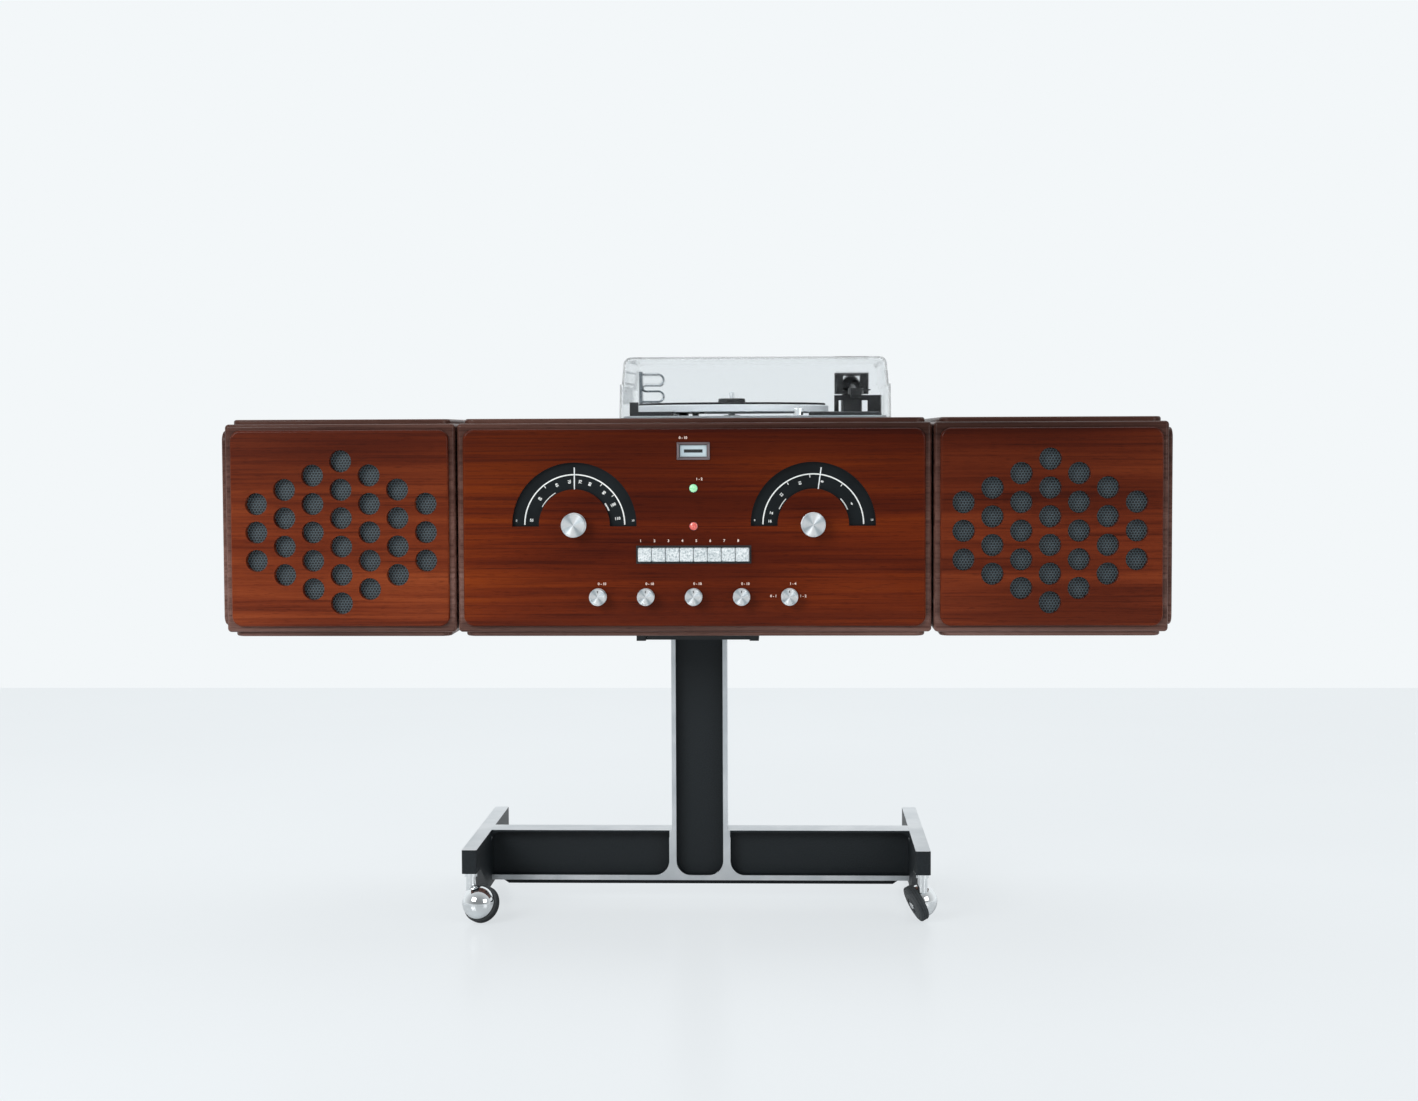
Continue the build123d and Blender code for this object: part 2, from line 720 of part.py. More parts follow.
def motor_pulley():
    # stepped pulley on the motor's shaft
    x, y = pulley_centre
    pulley = rod((x, y, platter_base - 1), (0, 0, 1), pulley_radius, 7)
    pulley += rod((x, y, platter_base - 5), (0, 0, 1), pulley_radius - 1.5, 5)
    return pulley + rod((x, y, platter_base), (0, 0, -1), shaft_radius, platter_gap + 30)


def drive_motor():
    # two cups with a band of core between them, hung from the deck plate on three posts
    x, y = pulley_centre
    top = cabinet_top - 14
    motor = rod((x, y, top), (0, 0, -1), motor_radius - 8, motor_height)
    motor = fillet(motor.edges().filter_by(GeomType.CIRCLE), 6)
    motor += rod((x, y, top - motor_height * 0.3), (0, 0, -1), motor_radius, motor_height * 0.4)
    for post in range(3):
        px, py = polar((x, y), motor_radius - 7, 120 * post + 60)
        motor += rod((px, py, top - motor_height * 0.5), (0, 0, 1), 3.5, motor_height * 0.5 + 14)
    return motor - rod((x, y, top + 1), (0, 0, -1), shaft_radius + running, 26)


def deck_mouldings():
    # black trim: turret of the arm, the bridge that the arm rests on, two control strips
    x, y = arm_pivot
    yoke_floor = arm_height - 12
    turret = rod((x, y, deck_top), (0, 0, 1), turret_radius, yoke_floor - hang_clearance - deck_top)
    turret = chamfer(turret.faces().sort_by(Axis.Z)[-1].edges(), 2)
    turret += rod((x, y, deck_top), (0, 0, 1), turret_radius + turret_foot[0], turret_foot[1])
    turret -= rod((x, y, deck_top + turret_foot[1] - 1), (0, 0, 1), 5 + running, 60)
    lowest = arm_line(y - rest_place + bridge_depth / 2).Z
    saddle = lowest - arm_tube - hang_clearance

    def across(reach, depth, heights):
        return block((x + reach[0], x + reach[1]), (rest_place - depth / 2, rest_place + depth / 2), heights)

    bridge = across(bridge_reach, bridge_depth, (saddle - bridge_thickness, saddle))
    for leg in bridge_legs:
        bridge += across(leg, bridge_depth, (deck_top, saddle - bridge_thickness + 1))
    bridge += across(bridge_reach, bridge_foot[0], (deck_top, deck_top + bridge_foot[1]))

    def on_deck(strip):
        (x0, x1), (y0, y1), height = strip
        return block((deck_centre[0] + x0, deck_centre[0] + x1), (deck_centre[1] + y0, deck_centre[1] + y1),
                     (deck_top, deck_top + height))

    panel = on_deck(right_strip)
    panel = chamfer(panel.faces().sort_by(Axis.Z)[-1].edges(), 1.5)
    return Compound(children=[turret, bridge, panel, on_deck(left_strip) + on_deck(left_post)])


def speed_lever():
    # small turned knob with a finger that points at the speeds
    x, y = lever_place
    lever = rod((x, y, deck_top + 0.5), (0, 0, 1), 6.5, 9)
    lever = chamfer(lever.faces().sort_by(Axis.Z)[-1].edges(), 1)
    lever += block((x - 2, x + 2), (y - 13, y), (deck_top + 3, deck_top + 7))
    return lever + rod((x, y, deck_top + 1), (0, 0, -1), shaft_radius, 14)


# Tonearm
def arm_line(distance):
    # a point on the arm's centre line, measured forward from the pivot
    slope = arm_drop / (arm_length - 32)
    return Vector(arm_pivot[0], arm_pivot[1] - distance, arm_height - slope * distance)


def arm_gimbal():
    # a fork that turns on the turret and carries the arm's cross shaft
    x, y = arm_pivot
    wide, deep = yoke_size
    floor = arm_height - 12
    fork = block((x - wide / 2, x + wide / 2), (y - deep / 2, y + deep / 2), (floor, yoke_top))
    fork = fillet(fork.edges().filter_by(Axis.Z), 4)
    gap = wide / 2 - yoke_plate
    fork -= block((x - gap, x + gap), (y - deep, y + deep), (floor + 5, yoke_top - 4))
    fork -= rod((x - wide, y, arm_height), (1, 0, 0), 2 + running, 2 * wide)
    return fork + rod((x, y, floor + 1), (0, 0, -1), 5, floor - deck_top - 4)


def tonearm():
    # tube, cross shaft, head with a finger lift and the pickup under it
    front = arm_line(arm_length - 34)
    back = arm_line(-arm_tail)
    tube = rod(back, front - back, arm_tube, (front - back).length)
    x, y = arm_pivot
    wide = yoke_size[0] - 2 * (yoke_plate + hang_clearance)
    hub = block((x - wide / 2, x + wide / 2), (y - 6, y + 6), (arm_height - 5.5, arm_height + 5.5))
    hub = fillet(hub.edges().filter_by(Axis.X), 2.5)
    shaft = rod((x - yoke_size[0] / 2, y, arm_height), (1, 0, 0), 2, yoke_size[0])
    head_z = front.Z
    outline = Plane((x, y - arm_length, head_z - 3)) * make_face(
        Polyline((-7, -8), (7, -8), (10, 2), (10, 24), (6, 38), (-6, 38), (-10, 24), (-10, 2), close=True))
    head = extrude(outline, 8)
    head = fillet(head.edges().filter_by(Axis.Z), 1.5)
    lift = block((x + 9, x + 19), (y - arm_length - 2, y - arm_length + 4), (head_z + 2, head_z + 3.5))
    pickup = block((x - 7, x + 7), (y - arm_length - 4, y - arm_length + 16), (head_z - 8, head_z - 2.5))
    return tube + hub + shaft + head + lift + pickup


def counterweight():
    # two turned rings on the arm's tail
    start = arm_line(-arm_tail + 1 + weight_length)
    direction = arm_line(-arm_tail) - arm_line(0)
    weight = rod(start, direction, weight_radius, weight_length)
    weight = chamfer(weight.edges().filter_by(GeomType.CIRCLE), 1.2)
    middle = start + direction.normalized() * (weight_length * 0.45)
    ring = rod(middle, direction, weight_radius + 1, 2) - rod(middle, direction, weight_radius - 1.5, 2)
    weight -= ring
    return weight - rod(arm_line(0), direction, arm_tube + running, 100)


# Dust cover
def cover_form(grow, lift):
    # a tapered hood in two tiers, with the upper one stepped in
    x, y = deck_centre
    wide, deep = cover_size[0] - 2 * grow, cover_size[1] - 2 * grow
    corner = cover_corner - grow
    lower = Pos(x, y, cover_base) * RectangleRounded(wide, deep, corner)
    form = extrude(lower, cover_step - lift, taper=1)
    start = cover_base + cover_step - lift - 1
    shrink = 2 * cover_step_inset
    upper = Pos(x, y, start) * RectangleRounded(wide - shrink, deep - shrink, corner)
    top = extrude(upper, cover_height - cover_step + 1, taper=cover_taper)
    top = fillet(top.faces().sort_by(Axis.Z)[-1].edges(), 10 - grow)
    return form + top


def dust_cover():
    cover = cover_form(0, 0) - Pos(0, 0, -0.01) * cover_form(cover_wall, cover_wall)
    line_z, line_y = hinge_line
    wall_y = line_y - hinge_offset
    for side in (-1, 1):
        x = deck_centre[0] + side * hinge_spacing / 2
        radius = line_z - cover_base - 0.3
        lug = rod((x - hinge_lug / 2, line_y, line_z), (1, 0, 0), radius, hinge_lug)
        lug += block((x - hinge_lug / 2, x + hinge_lug / 2), (wall_y - 1.5, line_y),
                     (line_z - radius + 0.2, line_z + radius))
        cover += lug
        cover -= rod((x - hinge_lug, line_y, line_z), (1, 0, 0), hinge_radius + running, 2 * hinge_lug)
    return cover


def cover_hinges():
    # two round-headed ears and a pin for each lug of the cover
    line_z, line_y = hinge_line
    ear_radius = hinge_offset - 0.4
    hinges = []
    for side in (-1, 1):
        x = deck_centre[0] + side * hinge_spacing / 2
        reach = hinge_lug / 2 + hang_clearance
        bracket = block((x - reach - hinge_ear, x + reach + hinge_ear), (line_y + 5.6, line_y + 8.6),
                        (cabinet_top, line_z + 3))
        for end in (-1, 1):
            ear = sorted((x + end * reach, x + end * (reach + hinge_ear)))
            bracket += block(ear, (line_y - ear_radius, line_y + 7), (cabinet_top, line_z))
            bracket += rod((ear[0], line_y, line_z), (1, 0, 0), ear_radius, hinge_ear)
        bracket += rod((x - reach - hinge_ear, line_y, line_z), (1, 0, 0), hinge_radius,
                       2 * (reach + hinge_ear))
        hinges.append(bracket)
    return Compound(children=hinges)


def cover_spring():
    # one bright wire bent into two hairpins, one above the other; a block ties its ends to the cover
    z = cover_base + cover_height / 2 + 5
    inner, outer = spring_split / 2, spring_split / 2 + spring_bow
    rise = z + outer + 4 - cover_base - cover_step
    inset = cover_wall + cover_step_inset + rise * tan(radians(cover_taper)) + hang_clearance
    x = deck_centre[0] - cover_size[0] / 2 + inset + 9.9
    y = deck_centre[1] + cover_size[1] / 2 - inset - cover_corner - 8
    far = x + spring_reach
    wire = Wire([
        Line((x - 5, y, z + outer), (far, y, z + outer)),
        ThreePointArc((far, y, z + outer), (far + spring_bow / 2, y, z + spring_split / 2 + spring_bow / 2),
                      (far, y, z + inner)),
        Line((far, y, z + inner), (x, y, z + inner)),
        ThreePointArc((x, y, z + inner), (x - inner, y, z), (x, y, z - inner)),
        Line((x, y, z - inner), (far, y, z - inner)),
        ThreePointArc((far, y, z - inner), (far + spring_bow / 2, y, z - spring_split / 2 - spring_bow / 2),
                      (far, y, z - outer)),
        Line((far, y, z - outer), (x - 5, y, z - outer))])
    hairpins = sweep(Plane(wire @ 0, z_dir=wire % 0) * Circle(spring_wire), path=wire)
    gap = min(spring_split, spring_bow) - 2 * spring_wire
    print("least gap in the spring", round(gap, 2))
    tie = block((x - 9.5, x - 4.5), (y - 8, y + 8), (z - outer - 4, z + outer + 4))
    return tie + hairpins


# Stand
def stand_frame():
    # one casting: a column and a crossbar with rims round sunk panels on both faces
    span = foot_spread / 2 - foot_width
    column_top = cabinet_floor - rail_height
    half = column_width / 2
    outline = Polyline((-span, crossbar_bottom), (span, crossbar_bottom), (span, foot_top), (half, foot_top),
                       (half, column_top), (-half, column_top), (-half, foot_top), (-span, foot_top), close=True)
    plane = facing_front(0, base_y + column_depth / 2, 0)
    casting = extrude(plane * make_face(outline), column_depth)
    depth = (column_depth - web_thickness) / 2
    low = crossbar_bottom + crossbar_floor
    sunk_column = Pos(0, (low + column_top) / 2) * Rectangle(column_width - 2 * rim_width, column_top - low)
    sunk_column = fillet(sunk_column.vertices().group_by(Axis.Y)[0], recess_corner)
    inner = half + rim_width - 2
    wide = span - inner
    high = foot_top - crossbar_rim
    sunk_bar = Pos(inner + wide / 2, (low + high) / 2) * Rectangle(wide, high - low)
    near = sunk_bar.vertices().group_by(Axis.X)[0].sort_by(Axis.Y)[0]
    sunk_bar = fillet(near, recess_corner)
    far = sunk_bar.vertices().group_by(Axis.X)[-1].sort_by(Axis.Y)[-1]
    sunk_bar = fillet(far, recess_corner * 0.6)
    panels = sunk_column + sunk_bar + mirror(sunk_bar, Plane.YZ)
    for y in (base_y - column_depth / 2 + depth, base_y + column_depth / 2 + 1):
        casting -= extrude(facing_front(0, y, 0) * panels, depth + 1)
    strip = Polyline((-span + 12, crossbar_bottom + 1), (-span + 12, crossbar_bottom),
                     (-span + 22, crossbar_bottom - under_strip), (span - 22, crossbar_bottom - under_strip),
                     (span - 12, crossbar_bottom), (span - 12, crossbar_bottom + 1), close=True)
    casting += extrude(facing_front(0, base_y + 8, 0) * make_face(strip), 16)
    return casting


def foot_bar(side):
    # a bar on edge, thin at both tips and deep under the crossbar
    x = side * (foot_spread / 2 - foot_width / 2)
    front = base_y - foot_length / 2
    back = base_y + foot_length / 2
    tip = foot_top - foot_tip
    belly = foot_top - foot_belly
    side_view = Polyline((front, foot_top), (front, tip), (front + 38, tip), (base_y - 48, belly),
                         (base_y + 48, belly), (back - 38, tip), (back, tip), (back, foot_top), close=True)
    plane = Plane((x - foot_width / 2, 0, 0), x_dir=(0, 1, 0), z_dir=(1, 0, 0))
    bar = extrude(plane * make_face(side_view), foot_width)
    bends = bar.edges().filter_by(Axis.X).group_by(Axis.Z)
    bar = fillet(bends[0], 14)
    bar = fillet(bar.edges().filter_by(Axis.Z), 2.5)
    for stem_y in (front + caster_setback, back - caster_setback):
        bar -= rod((x, stem_y, tip - 1), (0, 0, 1), stem_radius + running, stem_depth + 2)
    return bar


def mounting_plate():
    # a plate on the column's head between two rails that carry the centre box
    low = cabinet_floor - rail_height
    rails = block((-rail_spacing / 2 + 2, rail_spacing / 2 - 2), (base_y - 48, base_y + 48), (low, low + 6))
    for side in (-1, 1):
        middle = side * rail_spacing / 2
        rail = block((middle - rail_width / 2, middle + rail_width / 2),
                     (base_y - 65, base_y - 65 + rail_length), (low, cabinet_floor))
        rails += rail
    return rails


# Casters
wheel_drop = ((wheel_near + wheel_width - wheel_round) * sin(radians(wheel_tilt))
              + (wheel_radius - wheel_round) * cos(radians(wheel_tilt)) + wheel_round)
caster_corners = (("front_left", -1, -1, 65.0), ("front_right", 1, -1, 196.0),
                  ("rear_left", -1, 1, 0.0), ("rear_right", 1, 1, 12.0))
wheel_axis = Vector(0, cos(radians(wheel_tilt)), -sin(radians(wheel_tilt)))


def caster_hood():
    # drawn over its own stem: half a hollow ball, the stem's boss and the wheel's axle
    centre = Vector(caster_trail, -caster_side, wheel_drop)
    ball = Pos(*centre) * Sphere(hood_radius)
    ball -= Pos(*centre) * Sphere(hood_radius - hood_wall)
    tip = foot_top - foot_tip
    boss_start = wheel_drop + sqrt(hood_radius ** 2 - caster_trail ** 2 - caster_side ** 2) - 3
    boss = rod((0, 0, boss_start), (0, 0, 1), 6.5, tip - 4 - boss_start)
    collar = rod((0, 0, tip - 6), (0, 0, 1), 8.5, 6 - hang_clearance)
    stem = rod((0, 0, tip - 6), (0, 0, 1), stem_radius, 6 + stem_depth)
    wheel_room = rod(centre + wheel_axis * (wheel_near - hood_clearance), wheel_axis, wheel_radius + 1.5, 60)
    axle = rod(centre - wheel_axis * (hood_radius - 1), wheel_axis, axle_radius, hood_radius + 8)
    return ball + boss - wheel_room + collar + stem + axle


def caster_wheel():
    # a tyre with rounded shoulders and a domed outer face
    centre = Vector(caster_trail, -caster_side, wheel_drop)
    near, far = wheel_near, wheel_near + wheel_width
    radius, soft = wheel_radius, wheel_round
    tread = make_face([
        Line((axle_radius + running, near), (radius - soft, near)),
        RadiusArc((radius - soft, near), (radius, near + soft), -soft),
        Line((radius, near + soft), (radius, far - soft)),
        RadiusArc((radius, far - soft), (radius - soft, far), -soft),
        Line((radius - soft, far), (15, far + 2)),
        Line((15, far + 2), (12, far)),
        Line((12, far), (axle_radius + running, far)),
        Line((axle_radius + running, far), (axle_radius + running, near))])
    across = Vector(1, 0, 0)
    normal = across.cross(wheel_axis)
    plane = Plane(centre, x_dir=across, z_dir=normal)
    return revolve(plane * tread, Axis(centre, wheel_axis), 360)


def place_caster(solid, side, end, turn):
    # the wheel's side of the caster faces the given direction, measured from +X
    x = side * (foot_spread / 2 - foot_width / 2)
    y = base_y + end * (foot_length / 2 - caster_setback)
    return Location((x, y, 0), (0, 0, turn - 90)) * solid


# All nodes
save("stand_frame", stand_frame())
save("foot_bars", Compound(children=[foot_bar(-1), foot_bar(1)]))
save("mounting_plate", mounting_plate())
save("centre_shell", centre_shell())
save("front_panel", centre_front())
save("back_panel", back_panel())
save("dial_scales", dial_scales())
save("button_bezel", button_guide())
save("tuning_meter", tuning_meter())
save("stereo_lamp", pilot_lamp(stereo_lamp_height))
save("power_lamp", pilot_lamp(power_lamp_height))
save("radio_chassis", radio_chassis())
save("speaker_brackets", speaker_hooks())
save("deck_plate", deck_plate())
save("deck_mouldings", deck_mouldings())
save("drive_motor", drive_motor())
save("motor_pulley", motor_pulley())
save("idler_wheel", idler_wheel())
save("platter", platter())
save("platter_mat", platter_mat())
save("speed_lever", speed_lever())
save("arm_gimbal", arm_gimbal())
save("tonearm", tonearm())
save("counterweight", counterweight())
save("dust_cover", dust_cover())
save("cover_hinges", cover_hinges())
save("cover_spring", cover_spring())

for name, side in (("left", -1), ("right", 1)):
    save("speaker_shell_" + name, speaker_shell(side))
    save("speaker_front_" + name, speaker_front(side))
    save("speaker_grille_" + name, speaker_grille(side))
    save("speaker_drivers_" + name, speaker_drivers(side))
    save("dial_pointer_" + name, dial_pointer(side, tuned_right if side > 0 else 0))
    save("tuning_knob_" + name, turned_knob(dial_x(side), dial_height, tuning_diameter, tuning_length, False))

for place, name in enumerate(("bass", "treble", "balance", "volume", "selector")):
    knob_x = (place - 2) * knob_spacing
    save(name + "_knob", turned_knob(knob_x, knob_height, knob_diameter, knob_length, True))

for place in range(button_count):
    save("push_button_" + str(place + 1), push_button(place))

hood = caster_hood()
wheel = caster_wheel()
for name, side, end, turn in caster_corners:
    save("caster_hood_" + name, place_caster(hood, side, end, turn))
    save("caster_wheel_" + name, place_caster(wheel, side, end, turn))
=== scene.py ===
import bpy
import bmesh
import json
from math import atan2, cos, degrees, radians, sin, sqrt
from mathutils import Matrix, Vector


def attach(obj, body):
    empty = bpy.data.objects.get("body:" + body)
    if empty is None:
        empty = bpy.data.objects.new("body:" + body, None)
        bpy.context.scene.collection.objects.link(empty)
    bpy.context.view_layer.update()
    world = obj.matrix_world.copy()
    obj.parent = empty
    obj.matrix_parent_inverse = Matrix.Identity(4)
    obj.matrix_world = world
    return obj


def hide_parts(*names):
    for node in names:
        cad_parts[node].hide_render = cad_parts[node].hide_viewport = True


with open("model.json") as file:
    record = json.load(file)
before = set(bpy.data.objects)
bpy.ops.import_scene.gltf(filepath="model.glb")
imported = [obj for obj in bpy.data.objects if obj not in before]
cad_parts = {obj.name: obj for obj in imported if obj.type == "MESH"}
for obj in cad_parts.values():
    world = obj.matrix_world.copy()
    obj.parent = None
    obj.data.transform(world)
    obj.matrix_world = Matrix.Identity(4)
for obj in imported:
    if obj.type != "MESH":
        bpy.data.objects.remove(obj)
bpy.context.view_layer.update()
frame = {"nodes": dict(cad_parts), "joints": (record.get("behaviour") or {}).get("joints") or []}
cadNodes = frame["nodes"]
mm = 0.001
print("frame loaded:", len(cadNodes), "nodes")


# Small helpers
def toLinear(hexText):
    channels = [int(hexText[i:i + 2], 16) / 255 for i in (1, 3, 5)]
    return tuple(c / 12.92 if c <= 0.04045 else ((c + 0.055) / 1.055) ** 2.4 for c in channels) + (1.0,)


def addNode(tree, kind, settings=None, links=None):
    # lower-case keys are the node's own settings, others are its input sockets
    node = tree.nodes.new(kind)
    for key, value in (settings or {}).items():
        if isinstance(key, str) and key[0].islower():
            setattr(node, key, value)
        else:
            node.inputs[key].default_value = value
    for key, source in (links or {}).items():
        tree.links.new(source, node.inputs[key])
    return node


def addRamp(tree, source, stops):
    # colours spread over a value from 0 to 1
    ramp = addNode(tree, "ShaderNodeValToRGB", links={"Fac": source})
    elements = ramp.color_ramp.elements
    while len(elements) < len(stops):
        elements.new(0.5)
    for element, (place, colour) in zip(elements, stops):
        element.position = place
        element.color = toLinear(colour)
    return ramp.outputs["Color"]


def newMaterial(name, colour, settings=None):
    material = bpy.data.materials.new(name)
    material.use_nodes = True
    tree = material.node_tree
    shader = tree.nodes["Principled BSDF"]
    shader.inputs["Base Color"].default_value = toLinear(colour)
    for key, value in (settings or {}).items():
        shader.inputs[key].default_value = value
    return material, tree, shader


def objectPlace(tree):
    return addNode(tree, "ShaderNodeTexCoord").outputs["Object"]


cloudMm = 60  # size of the slow unevenness in gloss and tone that every finish has


def addSurface(tree, shader, grainMm, depthMm, roughness, stretch=(1, 1, 1)):
    # fine relief and uneven gloss, at a real grain size; stretch draws it out along an axis
    place = addNode(tree, "ShaderNodeMapping", {"Scale": tuple(1 / (grainMm * mm * s) for s in stretch)},
                    {"Vector": objectPlace(tree)})
    grain = addNode(tree, "ShaderNodeTexNoise", {"Scale": 1.0, "Detail": 3.0}, {"Vector": place.outputs[0]})
    cloud = addNode(tree, "ShaderNodeTexNoise", {"Scale": 1 / (cloudMm * mm), "Detail": 3.0},
                    {"Vector": objectPlace(tree)})
    both = addNode(tree, "ShaderNodeMath", {"operation": "MULTIPLY_ADD", 1: 0.5},
                   {0: grain.outputs["Fac"], 2: cloud.outputs["Fac"]})
    gloss = addNode(tree, "ShaderNodeMapRange", {"From Min": 0.5, "From Max": 1.0, "To Min": roughness[0],
                                                 "To Max": roughness[1]}, {"Value": both.outputs[0]})
    relief = addNode(tree, "ShaderNodeBump", {"Strength": 0.6, "Distance": depthMm * mm},
                     {"Height": grain.outputs["Fac"]})
    tree.links.new(gloss.outputs[0], shader.inputs["Roughness"])
    tree.links.new(relief.outputs[0], shader.inputs["Normal"])
    return grain.outputs["Fac"], cloud.outputs["Fac"], relief


def addTone(tree, shader, source, stops):
    colour = addRamp(tree, source, stops)
    tree.links.new(colour, shader.inputs["Base Color"])
    return colour


def deselectAll():
    if bpy.context.object and bpy.context.object.mode != "OBJECT":
        bpy.ops.object.mode_set(mode="OBJECT")
    bpy.ops.object.select_all(action="DESELECT")


def makeActive(piece):
    deselectAll()
    piece.select_set(True)
    bpy.context.view_layer.objects.active = piece


def editPiece(piece):
    makeActive(piece)
    bpy.ops.object.mode_set(mode="EDIT")
    bpy.ops.mesh.select_mode(type="FACE")


def pickFaces(test):
    # selects the faces of the piece in edit mode whose middle and normal pass the test
    mesh = bpy.context.object.data
    body = bmesh.from_edit_mesh(mesh)
    for face in body.faces:
        face.select_set(bool(test(face.calc_center_median(), face.normal)))
    bmesh.update_edit_mesh(mesh)


def bevelPiece(piece, width, segments=2, angle=30):
    makeActive(piece)
    modifier = piece.modifiers.new("softEdges", "BEVEL")
    modifier.width, modifier.segments = width, segments
    modifier.limit_method, modifier.angle_limit = "ANGLE", radians(angle)
    bpy.ops.object.modifier_apply(modifier=modifier.name)


def joinPieces(pieces):
    deselectAll()
    for piece in pieces:
        piece.select_set(True)
    bpy.context.view_layer.objects.active = pieces[0]
    if len(pieces) > 1:
        bpy.ops.object.join()
    return pieces[0]


def placePiece(piece, place, turn=(0, 0, 0)):
    # turns the piece about its own origin, moves it, and writes the place into its mesh
    piece.rotation_euler = turn
    piece.location = place
    makeActive(piece)
    bpy.ops.object.transform_apply(location=True, rotation=True, scale=True)
    return piece


def finishPiece(piece, name, body, material=None, stands=(), smooth=32):
    editPiece(piece)
    bpy.ops.mesh.select_all(action="SELECT")
    bpy.ops.mesh.remove_doubles(threshold=0.000001)
    bpy.ops.mesh.normals_make_consistent(inside=False)
    makeActive(piece)
    bpy.ops.object.transform_apply(location=True, rotation=True, scale=True)
    piece.name = name
    piece.data.name = name
    if material:
        piece.data.materials.clear()
        piece.data.materials.append(material)
    bpy.ops.object.shade_smooth_by_angle(angle=radians(smooth))
    if stands:
        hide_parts(*stands)
    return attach(piece, body)


def addBlock(low, high):
    # a cube primitive between two corners, in millimetres
    size = [(b - a) * mm for a, b in zip(low, high)]
    middle = [(a + b) / 2 * mm for a, b in zip(low, high)]
    deselectAll()
    bpy.ops.mesh.primitive_cube_add(size=1, location=middle, scale=size)
    bpy.ops.object.transform_apply(location=True, rotation=True, scale=True)
    return bpy.context.object


turns = {"front": (radians(90), 0, 0), "back": (radians(-90), 0, 0), "up": (0, 0, 0),
         "right": (0, radians(90), 0), "left": (0, radians(-90), 0)}


def addTurned(place, facing, radius, steps, sides=64):
    # a disc shaped by insets and extrusions, then faced and placed
    # a step is how far the edge goes inwards and how far it rises, in mm
    deselectAll()
    bpy.ops.mesh.primitive_circle_add(vertices=sides, radius=radius * mm, fill_type="NGON")
    piece = bpy.context.object
    editPiece(piece)
    bpy.ops.mesh.select_all(action="SELECT")
    now = radius
    for inward, rise in steps:
        if rise and not inward:
            bpy.ops.mesh.extrude_region_move(TRANSFORM_OT_translate={"value": (0, 0, rise * mm)})
        elif inward > 0 and not rise:
            bpy.ops.mesh.inset(thickness=inward * mm)
        else:
            bpy.ops.mesh.extrude_region_move(TRANSFORM_OT_translate={"value": (0, 0, rise * mm)})
            share = (now - inward) / now
            bpy.ops.transform.resize(value=(share, share, 1), center_override=(0, 0, 0))
        now -= inward
    bpy.ops.object.mode_set(mode="OBJECT")
    return placePiece(piece, [v * mm for v in place], turns.get(facing, facing))


def addText(words, size, place, turn=0.0, thick=0.05):
    # raised print that faces the front, with its middle at a place in mm and turned clockwise
    deselectAll()
    bpy.ops.object.text_add()
    text = bpy.context.object
    text.data.body, text.data.size = words, size * mm
    text.data.align_x, text.data.align_y = "CENTER", "CENTER"
    text.data.extrude = thick * mm
    text.data.offset = 0.03 * size * mm  # bolder strokes, as the ink spreads
    text.data.resolution_u = 3
    bpy.ops.object.convert(target="MESH")
    text = bpy.context.object
    text.matrix_world = (Matrix.Translation([v * mm for v in place]) @ Matrix.Rotation(radians(90), 4, "X")
                         @ Matrix.Rotation(radians(-turn), 4, "Z"))
    bpy.ops.object.transform_apply(location=True, rotation=True, scale=True)
    return text


def softCopy(nodeName, name, material, body, edge=0.0, smooth=32):
    # a merged copy of a CAD node with small round edges, which stands for the node
    piece = bpy.data.objects.new(name, cadNodes[nodeName].data.copy())
    bpy.context.scene.collection.objects.link(piece)
    editPiece(piece)
    bpy.ops.mesh.select_all(action="SELECT")
    bpy.ops.mesh.customdata_custom_splitnormals_clear()
    bpy.ops.mesh.remove_doubles(threshold=0.000002)
    bpy.ops.mesh.dissolve_limited(angle_limit=radians(0.4))
    makeActive(piece)
    piece.data.materials.clear()
    piece.data.materials.append(material)
    bpy.ops.object.shade_smooth_by_angle(angle=radians(smooth))
    if edge:
        modifier = piece.modifiers.new("softEdges", "BEVEL")
        modifier.width, modifier.segments = edge * mm, 2
        modifier.limit_method, modifier.angle_limit = "ANGLE", radians(40)
        modifier.harden_normals = True
        bpy.ops.object.modifier_apply(modifier=modifier.name)
    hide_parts(nodeName)
    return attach(piece, body)


def dress(nodeName, material):
    # a CAD node that is shown as it is gets its material
    slots = cadNodes[nodeName].material_slots
    for place in slots:
        place.link = "OBJECT"
        place.material = material


# Camera, fitted to the photograph
cameraView = {"place": (0.1192, -3.0029, 0.6466), "yaw": 0.035, "pitch": 0.053, "roll": -0.004,
              "focal": 2175.8, "pictureWidth": 1418}
yaw, pitch, roll = cameraView["yaw"], cameraView["pitch"], cameraView["roll"]
forward = Vector((-sin(yaw) * cos(pitch), cos(yaw) * cos(pitch), -sin(pitch)))
level = Vector((cos(yaw), sin(yaw), 0))
upright = level.cross(forward)
right = level * cos(roll) + upright * sin(roll)
upright = upright * cos(roll) - level * sin(roll)
bpy.ops.object.camera_add()
camera = bpy.context.object
camera.name = "studioCamera"
camera.data.sensor_width = 36
camera.data.lens = cameraView["focal"] / cameraView["pictureWidth"] * 36
camera.matrix_world = Matrix.Translation(cameraView["place"]) @ Matrix(
    (right, upright, -forward)).transposed().to_4x4()
bpy.context.scene.camera = camera
bpy.context.scene.view_settings.view_transform = "Standard"

